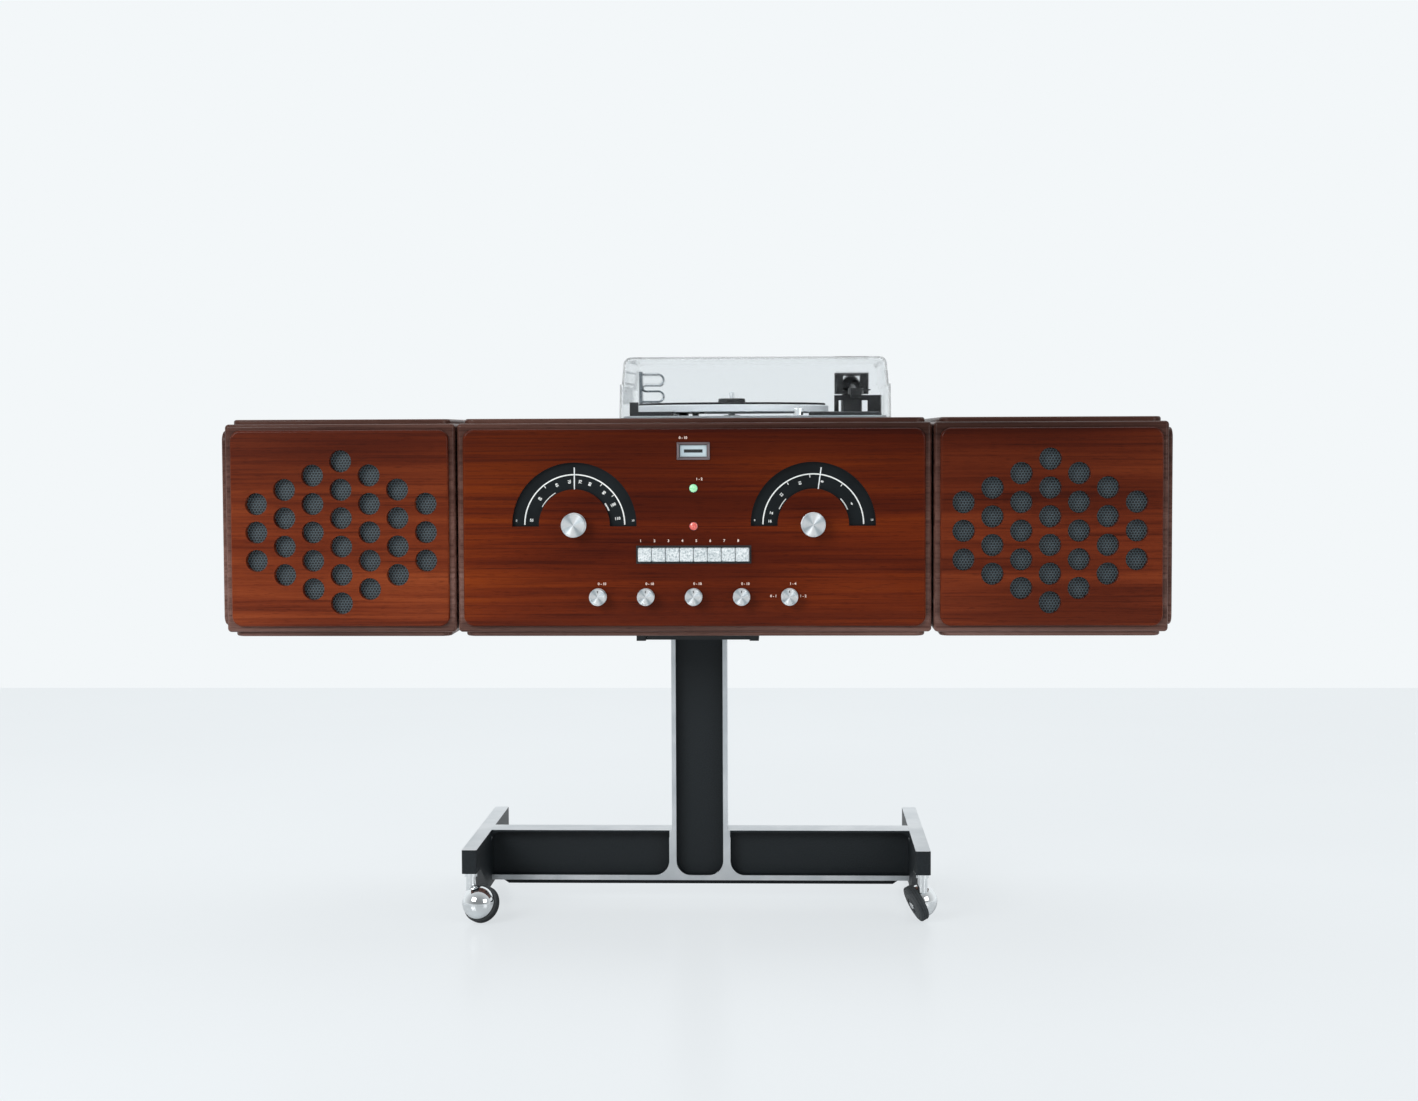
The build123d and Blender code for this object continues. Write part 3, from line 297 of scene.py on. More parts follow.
# Soft studio light
lights = {
    "keyLight": {"place": (-2.0, -2.7, 1.9), "aim": (0.0, 0.0, 0.40), "size": (1.7, 1.4), "watts": 66},
    "fillLight": {"place": (2.4, -2.4, 1.3), "aim": (0.1, 0.0, 0.4), "size": (1.5, 1.3), "watts": 18},
    "topLight": {"place": (0.0, 0.9, 2.7), "aim": (0.0, 0.1, 0.4), "size": (2.8, 1.6), "watts": 26},
}
for name, light in lights.items():
    bpy.ops.object.light_add(type="AREA", location=light["place"])
    lamp = bpy.context.object
    lamp.name = name
    lamp.data.shape, lamp.data.energy = "RECTANGLE", light["watts"]
    lamp.data.size, lamp.data.size_y = light["size"]
    aim = Vector(light["aim"]) - Vector(light["place"])
    lamp.rotation_euler = aim.to_track_quat("-Z", "Y").to_euler()

# The room: pale, a little dimmer in front of the object, and white where the camera sees it
room = {"seen": "#F5F8FA", "front": 0.30, "behind": 0.95, "strength": 0.58}
world = bpy.data.worlds.new("paleStudio")
bpy.context.scene.world = world
world.use_nodes = True
tree = world.node_tree
background = tree.nodes["Background"]
ray = addNode(tree, "ShaderNodeLightPath")
direction = addNode(tree, "ShaderNodeSeparateXYZ",
                    links={0: addNode(tree, "ShaderNodeTexCoord").outputs["Generated"]})
mirrored = addNode(tree, "ShaderNodeMapRange", {"From Min": -0.9, "From Max": 0.4, "To Min": room["front"],
                                                "To Max": room["behind"]}, {"Value": direction.outputs["Y"]})
glossy = addNode(tree, "ShaderNodeMix", {"A": room["strength"]},
                 {"Factor": ray.outputs["Is Glossy Ray"], "B": mirrored.outputs[0]})
clear = addNode(tree, "ShaderNodeMath", {"operation": "MAXIMUM"},
                {0: ray.outputs["Is Camera Ray"], 1: ray.outputs["Is Transmission Ray"]})
strength = addNode(tree, "ShaderNodeMix", {"B": 1.0}, {"Factor": clear.outputs[0], "A": glossy.outputs[0]})
background.inputs["Color"].default_value = toLinear(room["seen"])
tree.links.new(strength.outputs[0], background.inputs["Strength"])

# Pale floor and back wall
stageSizes = {"floor": 14.0, "wallBehind": 2.54, "wallHeight": 6.0}
bpy.ops.mesh.primitive_plane_add(size=stageSizes["floor"], location=(0, 0, 0))
floor = bpy.context.object
floor.name = "studioFloor"
floorMaterial, tree, shader = newMaterial("paintedFloor", "#E9EDF0", {"Specular IOR Level": 0.35})
haze = addNode(tree, "ShaderNodeTexNoise", {"Scale": 0.9, "Detail": 4.0}, {"Vector": objectPlace(tree)})
addTone(tree, shader, haze.outputs["Fac"], [(0.3, "#E4E9EC"), (0.7, "#EFF3F5")])
shine = addNode(tree, "ShaderNodeMapRange", {"To Min": 0.16, "To Max": 0.30}, {"Value": haze.outputs["Fac"]})
tree.links.new(shine.outputs[0], shader.inputs["Roughness"])
# what the camera sees of the floor stays even, with a light shadow
floorGlow = {"colour": "#EAEFF2", "share": 0.76}
even = addNode(tree, "ShaderNodeEmission", {"Color": toLinear(floorGlow["colour"]), "Strength": 1.0})
cameraRay = addNode(tree, "ShaderNodeLightPath")
clearRay = addNode(tree, "ShaderNodeMath", {"operation": "MAXIMUM"},
                   {0: cameraRay.outputs["Is Camera Ray"], 1: cameraRay.outputs["Is Transmission Ray"]})
evenShare = addNode(tree, "ShaderNodeMath", {"operation": "MULTIPLY", 1: floorGlow["share"]},
                    {0: clearRay.outputs[0]})
floorMix = addNode(tree, "ShaderNodeMixShader",
                   links={0: evenShare.outputs[0], 1: shader.outputs[0], 2: even.outputs[0]})
tree.links.new(floorMix.outputs[0], tree.nodes["Material Output"].inputs["Surface"])
floor.data.materials.append(floorMaterial)
bpy.ops.mesh.primitive_plane_add(size=1, location=(0, stageSizes["wallBehind"], stageSizes["wallHeight"] / 2),
                                 rotation=(radians(90), 0, 0))
wall = bpy.context.object
wall.name = "studioWall"
wall.scale = (stageSizes["floor"], stageSizes["wallHeight"], 1)
wallMaterial, tree, shader = newMaterial("paintedWall", "#F2F5F7", {"Roughness": 0.8})
glow = addNode(tree, "ShaderNodeEmission", {"Color": toLinear("#F3F7F9"), "Strength": 1.0})
bare = addNode(tree, "ShaderNodeBsdfTransparent")
wallSide = addNode(tree, "ShaderNodeNewGeometry")
wallMix = addNode(tree, "ShaderNodeMixShader",
                  links={0: wallSide.outputs["Backfacing"], 1: glow.outputs[0], 2: bare.outputs[0]})
tree.links.new(wallMix.outputs[0], tree.nodes["Material Output"].inputs["Surface"])
wall.data.materials.append(wallMaterial)
print("camera, light and stage ready")


# Rosewood veneer under gloss lacquer: long wavy figure, darker streaks and short open pores along the
# board, and painted shade that darkens the tone towards the upper edge
veneer = {"figureMm": 26, "figureLongMm": 900, "streakMm": 3.4, "streakLongMm": 260, "poreMm": 0.9,
          "poreLongMm": 16, "waveMm": 9, "waveEvery": (2.2, 14.0, 14.0), "cloudScale": 2.6, "sideFrom": 0.72,
          "figureShare": 0.55, "cloudShare": 0.45, "streakShare": 0.7, "poreShare": 0.35, "poreDepthMm": 0.05,
          "paleBelowMm": 410, "darkAboveMm": 650}


def rosewood(name, stops):
    material, tree, shader = newMaterial(name, "#6A2812", {"Specular IOR Level": 0.07, "Coat Weight": 0.12,
                                                           "Coat Roughness": 0.10, "IOR": 1.5})
    source = addNode(tree, "ShaderNodeTexCoord")
    place = addNode(tree, "ShaderNodeSeparateXYZ", links={0: source.outputs["Object"]})
    facing = addNode(tree, "ShaderNodeSeparateXYZ", links={0: source.outputs["Normal"]})
    sideways = addNode(tree, "ShaderNodeMath", {"operation": "ABSOLUTE"}, {0: facing.outputs["X"]})
    onSide = addNode(tree, "ShaderNodeMath", {"operation": "GREATER_THAN", 1: veneer["sideFrom"]},
                     {0: sideways.outputs[0]})
    swapped = addNode(tree, "ShaderNodeCombineXYZ", links={0: place.outputs["Y"], 1: place.outputs["X"],
                                                           2: place.outputs["Z"]})
    along = addNode(tree, "ShaderNodeMix", {"data_type": "VECTOR"},
                    {"Factor": onSide.outputs[0], 4: source.outputs["Object"], 5: swapped.outputs[0]})
    slow = addNode(tree, "ShaderNodeMapping", {"Scale": veneer["waveEvery"]}, {"Vector": along.outputs[1]})
    wave = addNode(tree, "ShaderNodeTexNoise", {"Scale": 1.0, "Detail": 1.0}, {"Vector": slow.outputs[0]})
    offset = addNode(tree, "ShaderNodeMath", {"operation": "MULTIPLY_ADD", 1: veneer["waveMm"] * mm,
                                              2: -veneer["waveMm"] * mm / 2}, {0: wave.outputs["Fac"]})
    shift = addNode(tree, "ShaderNodeCombineXYZ", links={1: offset.outputs[0], 2: offset.outputs[0]})
    wavy = addNode(tree, "ShaderNodeVectorMath", {"operation": "ADD"},
                   {0: along.outputs[1], 1: shift.outputs[0]})
    layers = {}
    for layer, detail in (("figure", 2.0), ("streak", 3.0), ("pore", 1.0)):
        across = 1 / (veneer[layer + "Mm"] * mm)
        lengthwise = 1 / (veneer[layer + "LongMm"] * mm)
        mapping = addNode(tree, "ShaderNodeMapping", {"Scale": (lengthwise, across, across)},
                          {"Vector": wavy.outputs[0]})
        noise = addNode(tree, "ShaderNodeTexNoise", {"Scale": 1.0, "Detail": detail, "Roughness": 0.6},
                        {"Vector": mapping.outputs[0]})
        layers[layer] = noise.outputs["Fac"]
    wide = addNode(tree, "ShaderNodeTexNoise", {"Scale": veneer["cloudScale"], "Detail": 1.0},
                   {"Vector": source.outputs["Object"]})
    clouded = addNode(tree, "ShaderNodeMath", {"operation": "MULTIPLY", 1: veneer["cloudShare"]},
                      {0: wide.outputs["Fac"]})
    tone = addNode(tree, "ShaderNodeMath", {"operation": "MULTIPLY_ADD", 1: veneer["figureShare"]},
                   {0: layers["figure"], 2: clouded.outputs[0]})
    figured = addRamp(tree, tone.outputs[0], stops)
    # painted shade: the veneer tone darkens by height towards the upper edge of the boxes
    height = addNode(tree, "ShaderNodeMapRange", {"From Min": veneer["paleBelowMm"] * mm,
                                                  "From Max": veneer["darkAboveMm"] * mm},
                     {"Value": place.outputs["Z"]})
    paintedShadeByHeight = addRamp(tree, height.outputs[0], [(0.0, "#FFFFFF"), (0.45, "#EEE6E2"), (1.0, "#AC9C96")])
    base = addNode(tree, "ShaderNodeMix", {"data_type": "RGBA", "blend_type": "MULTIPLY", 0: 1.0},
                   {6: figured, 7: paintedShadeByHeight}).outputs[2]
    dark = addRamp(tree, layers["streak"], [(0.30, "#8E7068"), (0.46, "#E4D6D0"), (0.62, "#FFFFFF")])
    lined = addNode(tree, "ShaderNodeMix", {"data_type": "RGBA", "blend_type": "MULTIPLY",
                                              0: veneer["streakShare"]},
                    {6: base, 7: dark})
    pores = addRamp(tree, layers["pore"], [(0.30, "#6A4A42"), (0.42, "#FFFFFF")])
    veined = addNode(tree, "ShaderNodeMix", {"data_type": "RGBA", "blend_type": "MULTIPLY",
                                               0: veneer["poreShare"]},
                     {6: lined.outputs[2], 7: pores})
    tree.links.new(veined.outputs[2], shader.inputs["Base Color"])
    gloss = addNode(tree, "ShaderNodeMapRange", {"From Min": 0.3, "From Max": 0.7, "To Min": 0.42,
                                                 "To Max": 0.30}, {"Value": layers["streak"]})
    tree.links.new(gloss.outputs[0], shader.inputs["Roughness"])
    relief = addNode(tree, "ShaderNodeBump", {"Strength": 0.25, "Distance": veneer["poreDepthMm"] * mm},
                     {"Height": layers["pore"]})
    tree.links.new(relief.outputs[0], shader.inputs["Normal"])
    return material


centreWood = rosewood("lacqueredRosewood",
                      [(0.36, "#571D07"), (0.46, "#6C2809"), (0.56, "#80350B"), (0.66, "#93400F")])
speakerWood = rosewood("lacqueredRosewoodWarm",
                       [(0.36, "#5C230F"), (0.46, "#733016"), (0.56, "#863D1D"), (0.66, "#984A25")])
# the shells round the boards: rosewood figure, painted paler and mauve-brown as sheen for the soft grazing
# reflection on their rounded edges
edgeWoodPaintedSheen = rosewood("rosewoodEdgesPaintedSheen", [(0.36, "#5A423B"), (0.50, "#755850"), (0.66, "#8B6D64")])

boards = {"centreEdge": 0.35, "speakerEdge": 0.6}
softCopy("centre_shell", "centre_cabinet", edgeWoodPaintedSheen, "cabinet")
softCopy("front_panel", "front_board", centreWood, "cabinet", edge=boards["centreEdge"])
for side in ("left", "right"):
    softCopy("speaker_shell_" + side, "speaker_cabinet_" + side, edgeWoodPaintedSheen, "speaker_" + side)
    softCopy("speaker_front_" + side, "speaker_board_" + side, speakerWood, "speaker_" + side,
             edge=boards["speakerEdge"])
print("wooden boxes dressed")


# Perforated steel sheet behind the round holes, painted black: six-sided rows of small holes,
# drawn a little wider than real so that they still show from afar, and filled with painted shade
perforation = {"pitchMm": 3.9, "holeMm": 2.7, "edge": (0.8, 1.15), "depthMm": 0.4}


def perforatedSteel():
    material, tree, shader = newMaterial("perforatedSteelPainted", "#3C4A50")
    addSurface(tree, shader, 1.5, 0.03, (0.42, 0.55))
    place = addNode(tree, "ShaderNodeSeparateXYZ", links={0: objectPlace(tree)})
    pitch = perforation["pitchMm"] * mm
    distances = []
    for shift in (0.0, 0.5):
        squares = []
        for axis, step in (("X", pitch), ("Z", pitch * sqrt(3))):
            cell = addNode(tree, "ShaderNodeMath", {"operation": "MULTIPLY_ADD", 1: 1 / step, 2: shift},
                           {0: place.outputs[axis]})
            part = addNode(tree, "ShaderNodeMath", {"operation": "FRACT"}, {0: cell.outputs[0]})
            away = addNode(tree, "ShaderNodeMath", {"operation": "MULTIPLY_ADD", 1: step, 2: -step / 2},
                           {0: part.outputs[0]})
            squares.append(addNode(tree, "ShaderNodeMath", {"operation": "POWER", 1: 2.0},
                                   {0: away.outputs[0]}))
        distances.append(addNode(tree, "ShaderNodeMath", {"operation": "ADD"},
                                 {0: squares[0].outputs[0], 1: squares[1].outputs[0]}))
    nearest = addNode(tree, "ShaderNodeMath", {"operation": "MINIMUM"},
                      {0: distances[0].outputs[0], 1: distances[1].outputs[0]})
    radius = perforation["holeMm"] / 2 * mm
    inside, outside = [(radius * share) ** 2 for share in perforation["edge"]]
    sheet = addNode(tree, "ShaderNodeMapRange", {"From Min": inside, "From Max": outside},
                    {"Value": nearest.outputs[0]})
    # painted shade: the holes are drawn near black for the shade seen through them
    addTone(tree, shader, sheet.outputs[0], [(0.0, "#040607"), (1.0, "#4B5A61")])
    relief = addNode(tree, "ShaderNodeBump", {"Strength": 0.8, "Distance": perforation["depthMm"] * mm},
                     {"Height": sheet.outputs[0]})
    tree.links.new(relief.outputs[0], shader.inputs["Normal"])
    return material


grilleSteel = perforatedSteel()
for side in ("left", "right"):
    dress("speaker_grille_" + side, grilleSteel)


# Pressed paper of the loudspeakers, doped black: dull, with a coarse felted grain
def paperCone():
    material, tree, shader = newMaterial("pressedPaperCone", "#1E1F20", {"Specular IOR Level": 0.3})
    grain, cloud, relief = addSurface(tree, shader, 1.2, 0.15, (0.7, 0.9))
    addTone(tree, shader, grain, [(0.3, "#141516"), (0.7, "#2A2B2C")])
    return material


coneMaterial = paperCone()
for side in ("left", "right"):
    dress("speaker_drivers_" + side, coneMaterial)
print("speaker parts dressed")


# Sand-cast aluminium: satin bare metal on the machined rims and on the bar's upper face, dark blue-grey
# stove paint in the recesses; the lip over each recess of the bar is painted too
stand = {"rimFrontY": -9.6, "rimBackY": 29.6, "barTop": 98.6, "columnHalf": 38.1, "underside": 28.7,
         "paintedAbove": 89.0, "pocketFrom": 42.0}


def castAluminium(name, masked):
    material, tree, shader = newMaterial(name, "#BFC5C9", {"Specular IOR Level": 0.3})
    grain, cloud, relief = addSurface(tree, shader, 1.4, 0.05, (0.26, 0.40))
    source = addNode(tree, "ShaderNodeTexCoord")
    place = addNode(tree, "ShaderNodeSeparateXYZ", links={0: source.outputs["Object"]})
    facing = addNode(tree, "ShaderNodeSeparateXYZ", links={0: source.outputs["Normal"]})
    bare = masked(tree, place, facing)
    metal = addRamp(tree, cloud, [(0.35, "#C6CCD0"), (0.65, "#DDE1E4")])
    paint = addRamp(tree, grain, [(0.3, "#10161A"), (0.7, "#1E2529")])
    colour = addNode(tree, "ShaderNodeMix", {"data_type": "RGBA"}, {"Factor": bare, 6: paint, 7: metal})
    tree.links.new(colour.outputs[2], shader.inputs["Base Color"])
    shine = addNode(tree, "ShaderNodeMath", {"operation": "MULTIPLY", 1: 0.75}, {0: bare})
    tree.links.new(shine.outputs[0], shader.inputs["Metallic"])
    dull = addNode(tree, "ShaderNodeMapRange", {"To Min": 0.5, "To Max": 0.32}, {"Value": bare})
    tree.links.new(dull.outputs[0], shader.inputs["Roughness"])
    return material


def maskStand(tree, place, facing):
    tests = []
    for output, operation, limit in (("Y", "LESS_THAN", "rimFrontY"), ("Y", "GREATER_THAN", "rimBackY"),
                                     ("Z", "GREATER_THAN", "barTop"), ("Z", "GREATER_THAN", "paintedAbove")):
        tests.append(addNode(tree, "ShaderNodeMath", {"operation": operation, 1: stand[limit] * mm},
                             {0: place.outputs[output]}).outputs[0])
    sideways = addNode(tree, "ShaderNodeMath", {"operation": "ABSOLUTE"}, {0: place.outputs["X"]})
    outside = addNode(tree, "ShaderNodeMath", {"operation": "GREATER_THAN", 1: stand["columnHalf"] * mm},
                      {0: sideways.outputs[0]})
    above = addNode(tree, "ShaderNodeMath", {"operation": "MULTIPLY"}, {0: tests[2], 1: outside.outputs[0]})
    besidePocket = addNode(tree, "ShaderNodeMath", {"operation": "GREATER_THAN", 1: stand["pocketFrom"] * mm},
                           {0: sideways.outputs[0]})
    painted = addNode(tree, "ShaderNodeMath", {"operation": "MULTIPLY"},
                      {0: tests[3], 1: besidePocket.outputs[0]})
    rim = addNode(tree, "ShaderNodeMath", {"operation": "MAXIMUM"}, {0: tests[0], 1: tests[1]})
    bareRim = addNode(tree, "ShaderNodeMath", {"operation": "SUBTRACT", "use_clamp": True},
                      {0: rim.outputs[0], 1: painted.outputs[0]})
    either = addNode(tree, "ShaderNodeMath", {"operation": "MAXIMUM"},
                     {0: bareRim.outputs[0], 1: above.outputs[0]})
    higher = addNode(tree, "ShaderNodeMath", {"operation": "GREATER_THAN", 1: stand["underside"] * mm},
                     {0: place.outputs["Z"]})
    return addNode(tree, "ShaderNodeMath", {"operation": "MULTIPLY"},
                   {0: either.outputs[0], 1: higher.outputs[0]}).outputs[0]


def maskFoot(tree, place, facing):
    return addNode(tree, "ShaderNodeMath", {"operation": "GREATER_THAN", 1: 0.6},
                   {0: facing.outputs["Z"]}).outputs[0]


softCopy("stand_frame", "stand_casting", castAluminium("castAluminiumTwoTone", maskStand), "cabinet",
         edge=0.5)
softCopy("foot_bars", "foot_castings", castAluminium("castAluminiumFeet", maskFoot), "cabinet",
         edge=0.5)


# Plain finishes: what each material is, how its surface was made, and what that gives the eye
def plainFinish(name, stops, settings, grainMm, depthMm, roughness, stretch=(1, 1, 1), cloudy=True):
    material, tree, shader = newMaterial(name, stops[0][1], settings)
    grain, cloud, relief = addSurface(tree, shader, grainMm, depthMm, roughness, stretch)
    addTone(tree, shader, cloud if cloudy else grain, stops)
    return material


# Sheet steel, stove-painted satin black: soft sheen with a slight orange peel
blackPaint = plainFinish("stovePaintedSteel", [(0.35, "#15181A"), (0.65, "#23282B")], {}, 2.5, 0.02,
                         (0.35, 0.5))
# Die-cast zinc with polished chrome plate: mirror with faint waviness
chromePlate = plainFinish("chromePlatedZinc", [(0.35, "#E6EAEC"), (0.65, "#F3F6F7")], {"Metallic": 1.0},
                          9.0, 0.01, (0.05, 0.10))
# Moulded black ABS: matte with a fine spark-eroded grain
blackAbs = plainFinish("mouldedBlackAbs", [(0.35, "#121416"), (0.65, "#1F2326")], {}, 0.8, 0.03, (0.38, 0.55))
# Vulcanised rubber: dark grey, dusty and dull
wheelRubber = plainFinish("vulcanisedRubber", [(0.35, "#25292B"), (0.65, "#3A3F42")],
                          {"Specular IOR Level": 0.4}, 0.9, 0.05, (0.55, 0.75))
# Zinc-plated sheet steel, rolled: pale yellow-grey with rolling lines
zincPlate = plainFinish("zincPlatedSheet", [(0.35, "#8E918C"), (0.65, "#ADB0AA")], {"Metallic": 1.0},
                        0.6, 0.02, (0.28, 0.42), stretch=(30, 1, 1))
# Grey stove enamel on pressed steel: smooth, half gloss
greyEnamel = plainFinish("stoveEnamelledSteel", [(0.35, "#8A9094"), (0.65, "#979DA1")], {}, 3.0, 0.01,
                         (0.28, 0.38))
# Tempered hardboard: brown pressed fibre, dull
hardboard = plainFinish("temperedHardboard", [(0.3, "#2A1D15"), (0.5, "#3B2A1E"), (0.7, "#4A3627")],
                        {"Specular IOR Level": 0.3}, 1.6, 0.12, (0.65, 0.85), cloudy=False)
# Opal white enamel on the thin pointer: clean, half gloss
whiteEnamel = plainFinish("whiteEnamel", [(0.35, "#E2E7E8"), (0.65, "#F0F3F3")], {}, 1.0, 0.005, (0.3, 0.4))
# Screen-printed ink: off-white, slightly raised and uneven in density
printInk = plainFinish("screenPrintedInk", [(0.35, "#DCE0DE"), (0.65, "#F2F3F0")], {}, 0.5, 0.02, (0.45, 0.6))

for name, material in {"mounting_plate": blackPaint, "drive_motor": blackPaint, "button_bezel": blackAbs,
                       "deck_plate": greyEnamel, "radio_chassis": zincPlate, "speaker_brackets": zincPlate,
                       "motor_pulley": zincPlate, "back_panel": hardboard, "idler_wheel": wheelRubber,
                       "cover_hinges": blackAbs}.items():
    dress(name, material)
for side in ("left", "right"):
    dress("dial_pointer_" + side, whiteEnamel)


# Spun aluminium: lathe rings about the turned axis, which fan the light out, and on small faces also
# painted highlight: pale and dark wedges round the axis, drawn into the colour
def spunAluminium(name, centre, axis, ringMm, stops, paintedSheenFans=None):
    material, tree, shader = newMaterial(name, stops[0][1], {"Metallic": 0.72, "Anisotropic": 0.95})
    moved = addNode(tree, "ShaderNodeMapping", {"Location": tuple(-v * mm for v in centre)},
                    {"Vector": objectPlace(tree)})
    flat = addNode(tree, "ShaderNodeVectorMath", {"operation": "MULTIPLY", 1: axis}, {0: moved.outputs[0]})
    away = addNode(tree, "ShaderNodeVectorMath", {"operation": "LENGTH"}, {0: flat.outputs[0]})
    ringCount = addNode(tree, "ShaderNodeMath", {"operation": "MULTIPLY", 1: 1 / (ringMm * mm)},
                        {0: away.outputs["Value"]})
    rings = addNode(tree, "ShaderNodeTexNoise", {"noise_dimensions": "1D", "Scale": 1.0, "Detail": 2.0},
                    {"W": ringCount.outputs[0]})
    colour = addTone(tree, shader, rings.outputs["Fac"], stops)
    # painted highlight: pale and dark wedges round the axis stand for the light fanned by the spun face
    if paintedSheenFans:
        spot = addNode(tree, "ShaderNodeSeparateXYZ", links={0: flat.outputs[0]})
        turn = addNode(tree, "ShaderNodeMath", {"operation": "ARCTAN2"},
                       {0: spot.outputs["X"], 1: spot.outputs["Z"]})
        repeated = addNode(tree, "ShaderNodeMath", {"operation": "MULTIPLY_ADD", 1: paintedSheenFans["count"],
                                                    2: paintedSheenFans["phase"]}, {0: turn.outputs[0]})
        sheenWedge = addNode(tree, "ShaderNodeMath", {"operation": "SINE"}, {0: repeated.outputs[0]})
        share = addNode(tree, "ShaderNodeMapRange", {"From Min": -1.0, "From Max": 1.0},
                        {"Value": sheenWedge.outputs[0]})
        withPaintedSheen = addNode(tree, "ShaderNodeMix", {"data_type": "RGBA", "blend_type": "MULTIPLY", 0: 1.0},
                         {6: colour, 7: addRamp(tree, share.outputs[0], paintedSheenFans["sheenTones"])})
        tree.links.new(withPaintedSheen.outputs[2], shader.inputs["Base Color"])
    gloss = addNode(tree, "ShaderNodeMapRange", {"From Min": 0.3, "From Max": 0.7, "To Min": 0.44,
                                                 "To Max": 0.54}, {"Value": rings.outputs["Fac"]})
    tree.links.new(gloss.outputs[0], shader.inputs["Roughness"])
    relief = addNode(tree, "ShaderNodeBump", {"Strength": 0.5, "Distance": 0.04 * mm},
                     {"Height": rings.outputs["Fac"]})
    tree.links.new(relief.outputs[0], shader.inputs["Normal"])
    around = addNode(tree, "ShaderNodeVectorMath", {"operation": "CROSS_PRODUCT",
                                                    1: tuple(1.0 - v for v in axis)}, {0: flat.outputs[0]})
    unit = addNode(tree, "ShaderNodeVectorMath", {"operation": "NORMALIZE"}, {0: around.outputs[0]})
    turned = addNode(tree, "ShaderNodeVectorTransform", {"vector_type": "VECTOR", "convert_from": "OBJECT",
                                                         "convert_to": "WORLD"}, {0: unit.outputs[0]})
    tree.links.new(turned.outputs[0], shader.inputs["Tangent"])
    return material


# Turned knobs, each with a grooved skirt, a bright chamfer and a dished spun face
knobLook = {"face": [(0.3, "#E6EAEC"), (0.7, "#FAFBFC")], "ringMm": 0.55,
            "paintedSheenFans": {"count": 4, "phase": 0.9,
                     "sheenTones": [(0.0, "#BFC7CB"), (0.45, "#EEF1F2"), (1.0, "#FFFFFF")]}}
tuningKnob = {"radius": 16.0, "length": 18.5, "gap": 0.6, "skirt": 3.0, "grooves": 90, "grooveDepth": 0.35}
smallKnob = {"radius": 11.25, "length": 16.0, "gap": 0.6, "skirt": 2.6, "grooves": 64, "grooveDepth": 0.3}
boardFront = -170.0


def makeKnob(x, z, sizes, name, body, node, mark):
    radius, length = sizes["radius"], sizes["length"]
    knob = addTurned((x, boardFront - sizes["gap"], z), "front", radius - 1.0,
                     [(0, sizes["skirt"]), (-1.0, 0.5), (0, 0.6), (0.5, 0.3),
                      (0, length - sizes["skirt"] - 3.6), (-0.3, 0.3), (0, 0.7), (0.7, 0.6), (1.3, 0.0),
                      (0.4, -0.5), (radius - 6.4, -0.35)],
                     sides=2 * sizes["grooves"])
    editPiece(knob)
    bpy.ops.mesh.select_mode(type="VERT")
    knobBody = bmesh.from_edit_mesh(knob.data)
    centre = Vector((x * mm, 0, z * mm))
    low = (boardFront - sizes["gap"] - length + 2.2) * mm
    high = (boardFront - sizes["gap"] - sizes["skirt"] - 1.1) * mm
    for vertex in knobBody.verts:
        spoke = Vector((vertex.co.x, 0, vertex.co.z)) - centre
        turn = degrees(atan2(spoke.x, spoke.z)) / 360 * 2 * sizes["grooves"]
        inGroove = round(turn) % 2 == 0 and low < vertex.co.y < high and spoke.length > (radius - 1.2) * mm
        if inGroove:
            share = (spoke.length - sizes["grooveDepth"] * mm) / spoke.length
            vertex.co.x, vertex.co.z = centre.x + spoke.x * share, centre.z + spoke.z * share
    bmesh.update_edit_mesh(knob.data)
    bpy.ops.object.mode_set(mode="OBJECT")
    metal = spunAluminium("spunAluminium_" + name, (x, 0, z), (1.0, 0.0, 1.0), knobLook["ringMm"],
                          knobLook["face"], knobLook["paintedSheenFans"])
    knob.data.materials.append(metal)
    parts = [knob]
    if mark:
        front = boardFront - sizes["gap"] - length
        line = addBlock((x - 0.45, front + 0.35, z + radius - 5.6), (x + 0.45, front + 0.8, z + radius - 2.6))
        line.data.materials.append(blackPaint)
        parts.append(line)
    knob = joinPieces(parts)
    return finishPiece(knob, name, body, stands=(node,), smooth=28)


dialX, dialZ = 156.0, 530.0
for side, sign in (("left", -1), ("right", 1)):
    makeKnob(sign * dialX, dialZ, tuningKnob, "tuning_dial_knob_" + side, "tuning_" + side,
             "tuning_knob_" + side, False)
smallKnobs = {"pitch": 62.5, "height": 436.0, "names": ("bass", "treble", "balance", "volume", "selector")}
for place, name in enumerate(smallKnobs["names"]):
    makeKnob((place - 2) * smallKnobs["pitch"], smallKnobs["height"], smallKnob, "turned_knob_" + name, name,
             name + "_knob", True)
print("knobs made")


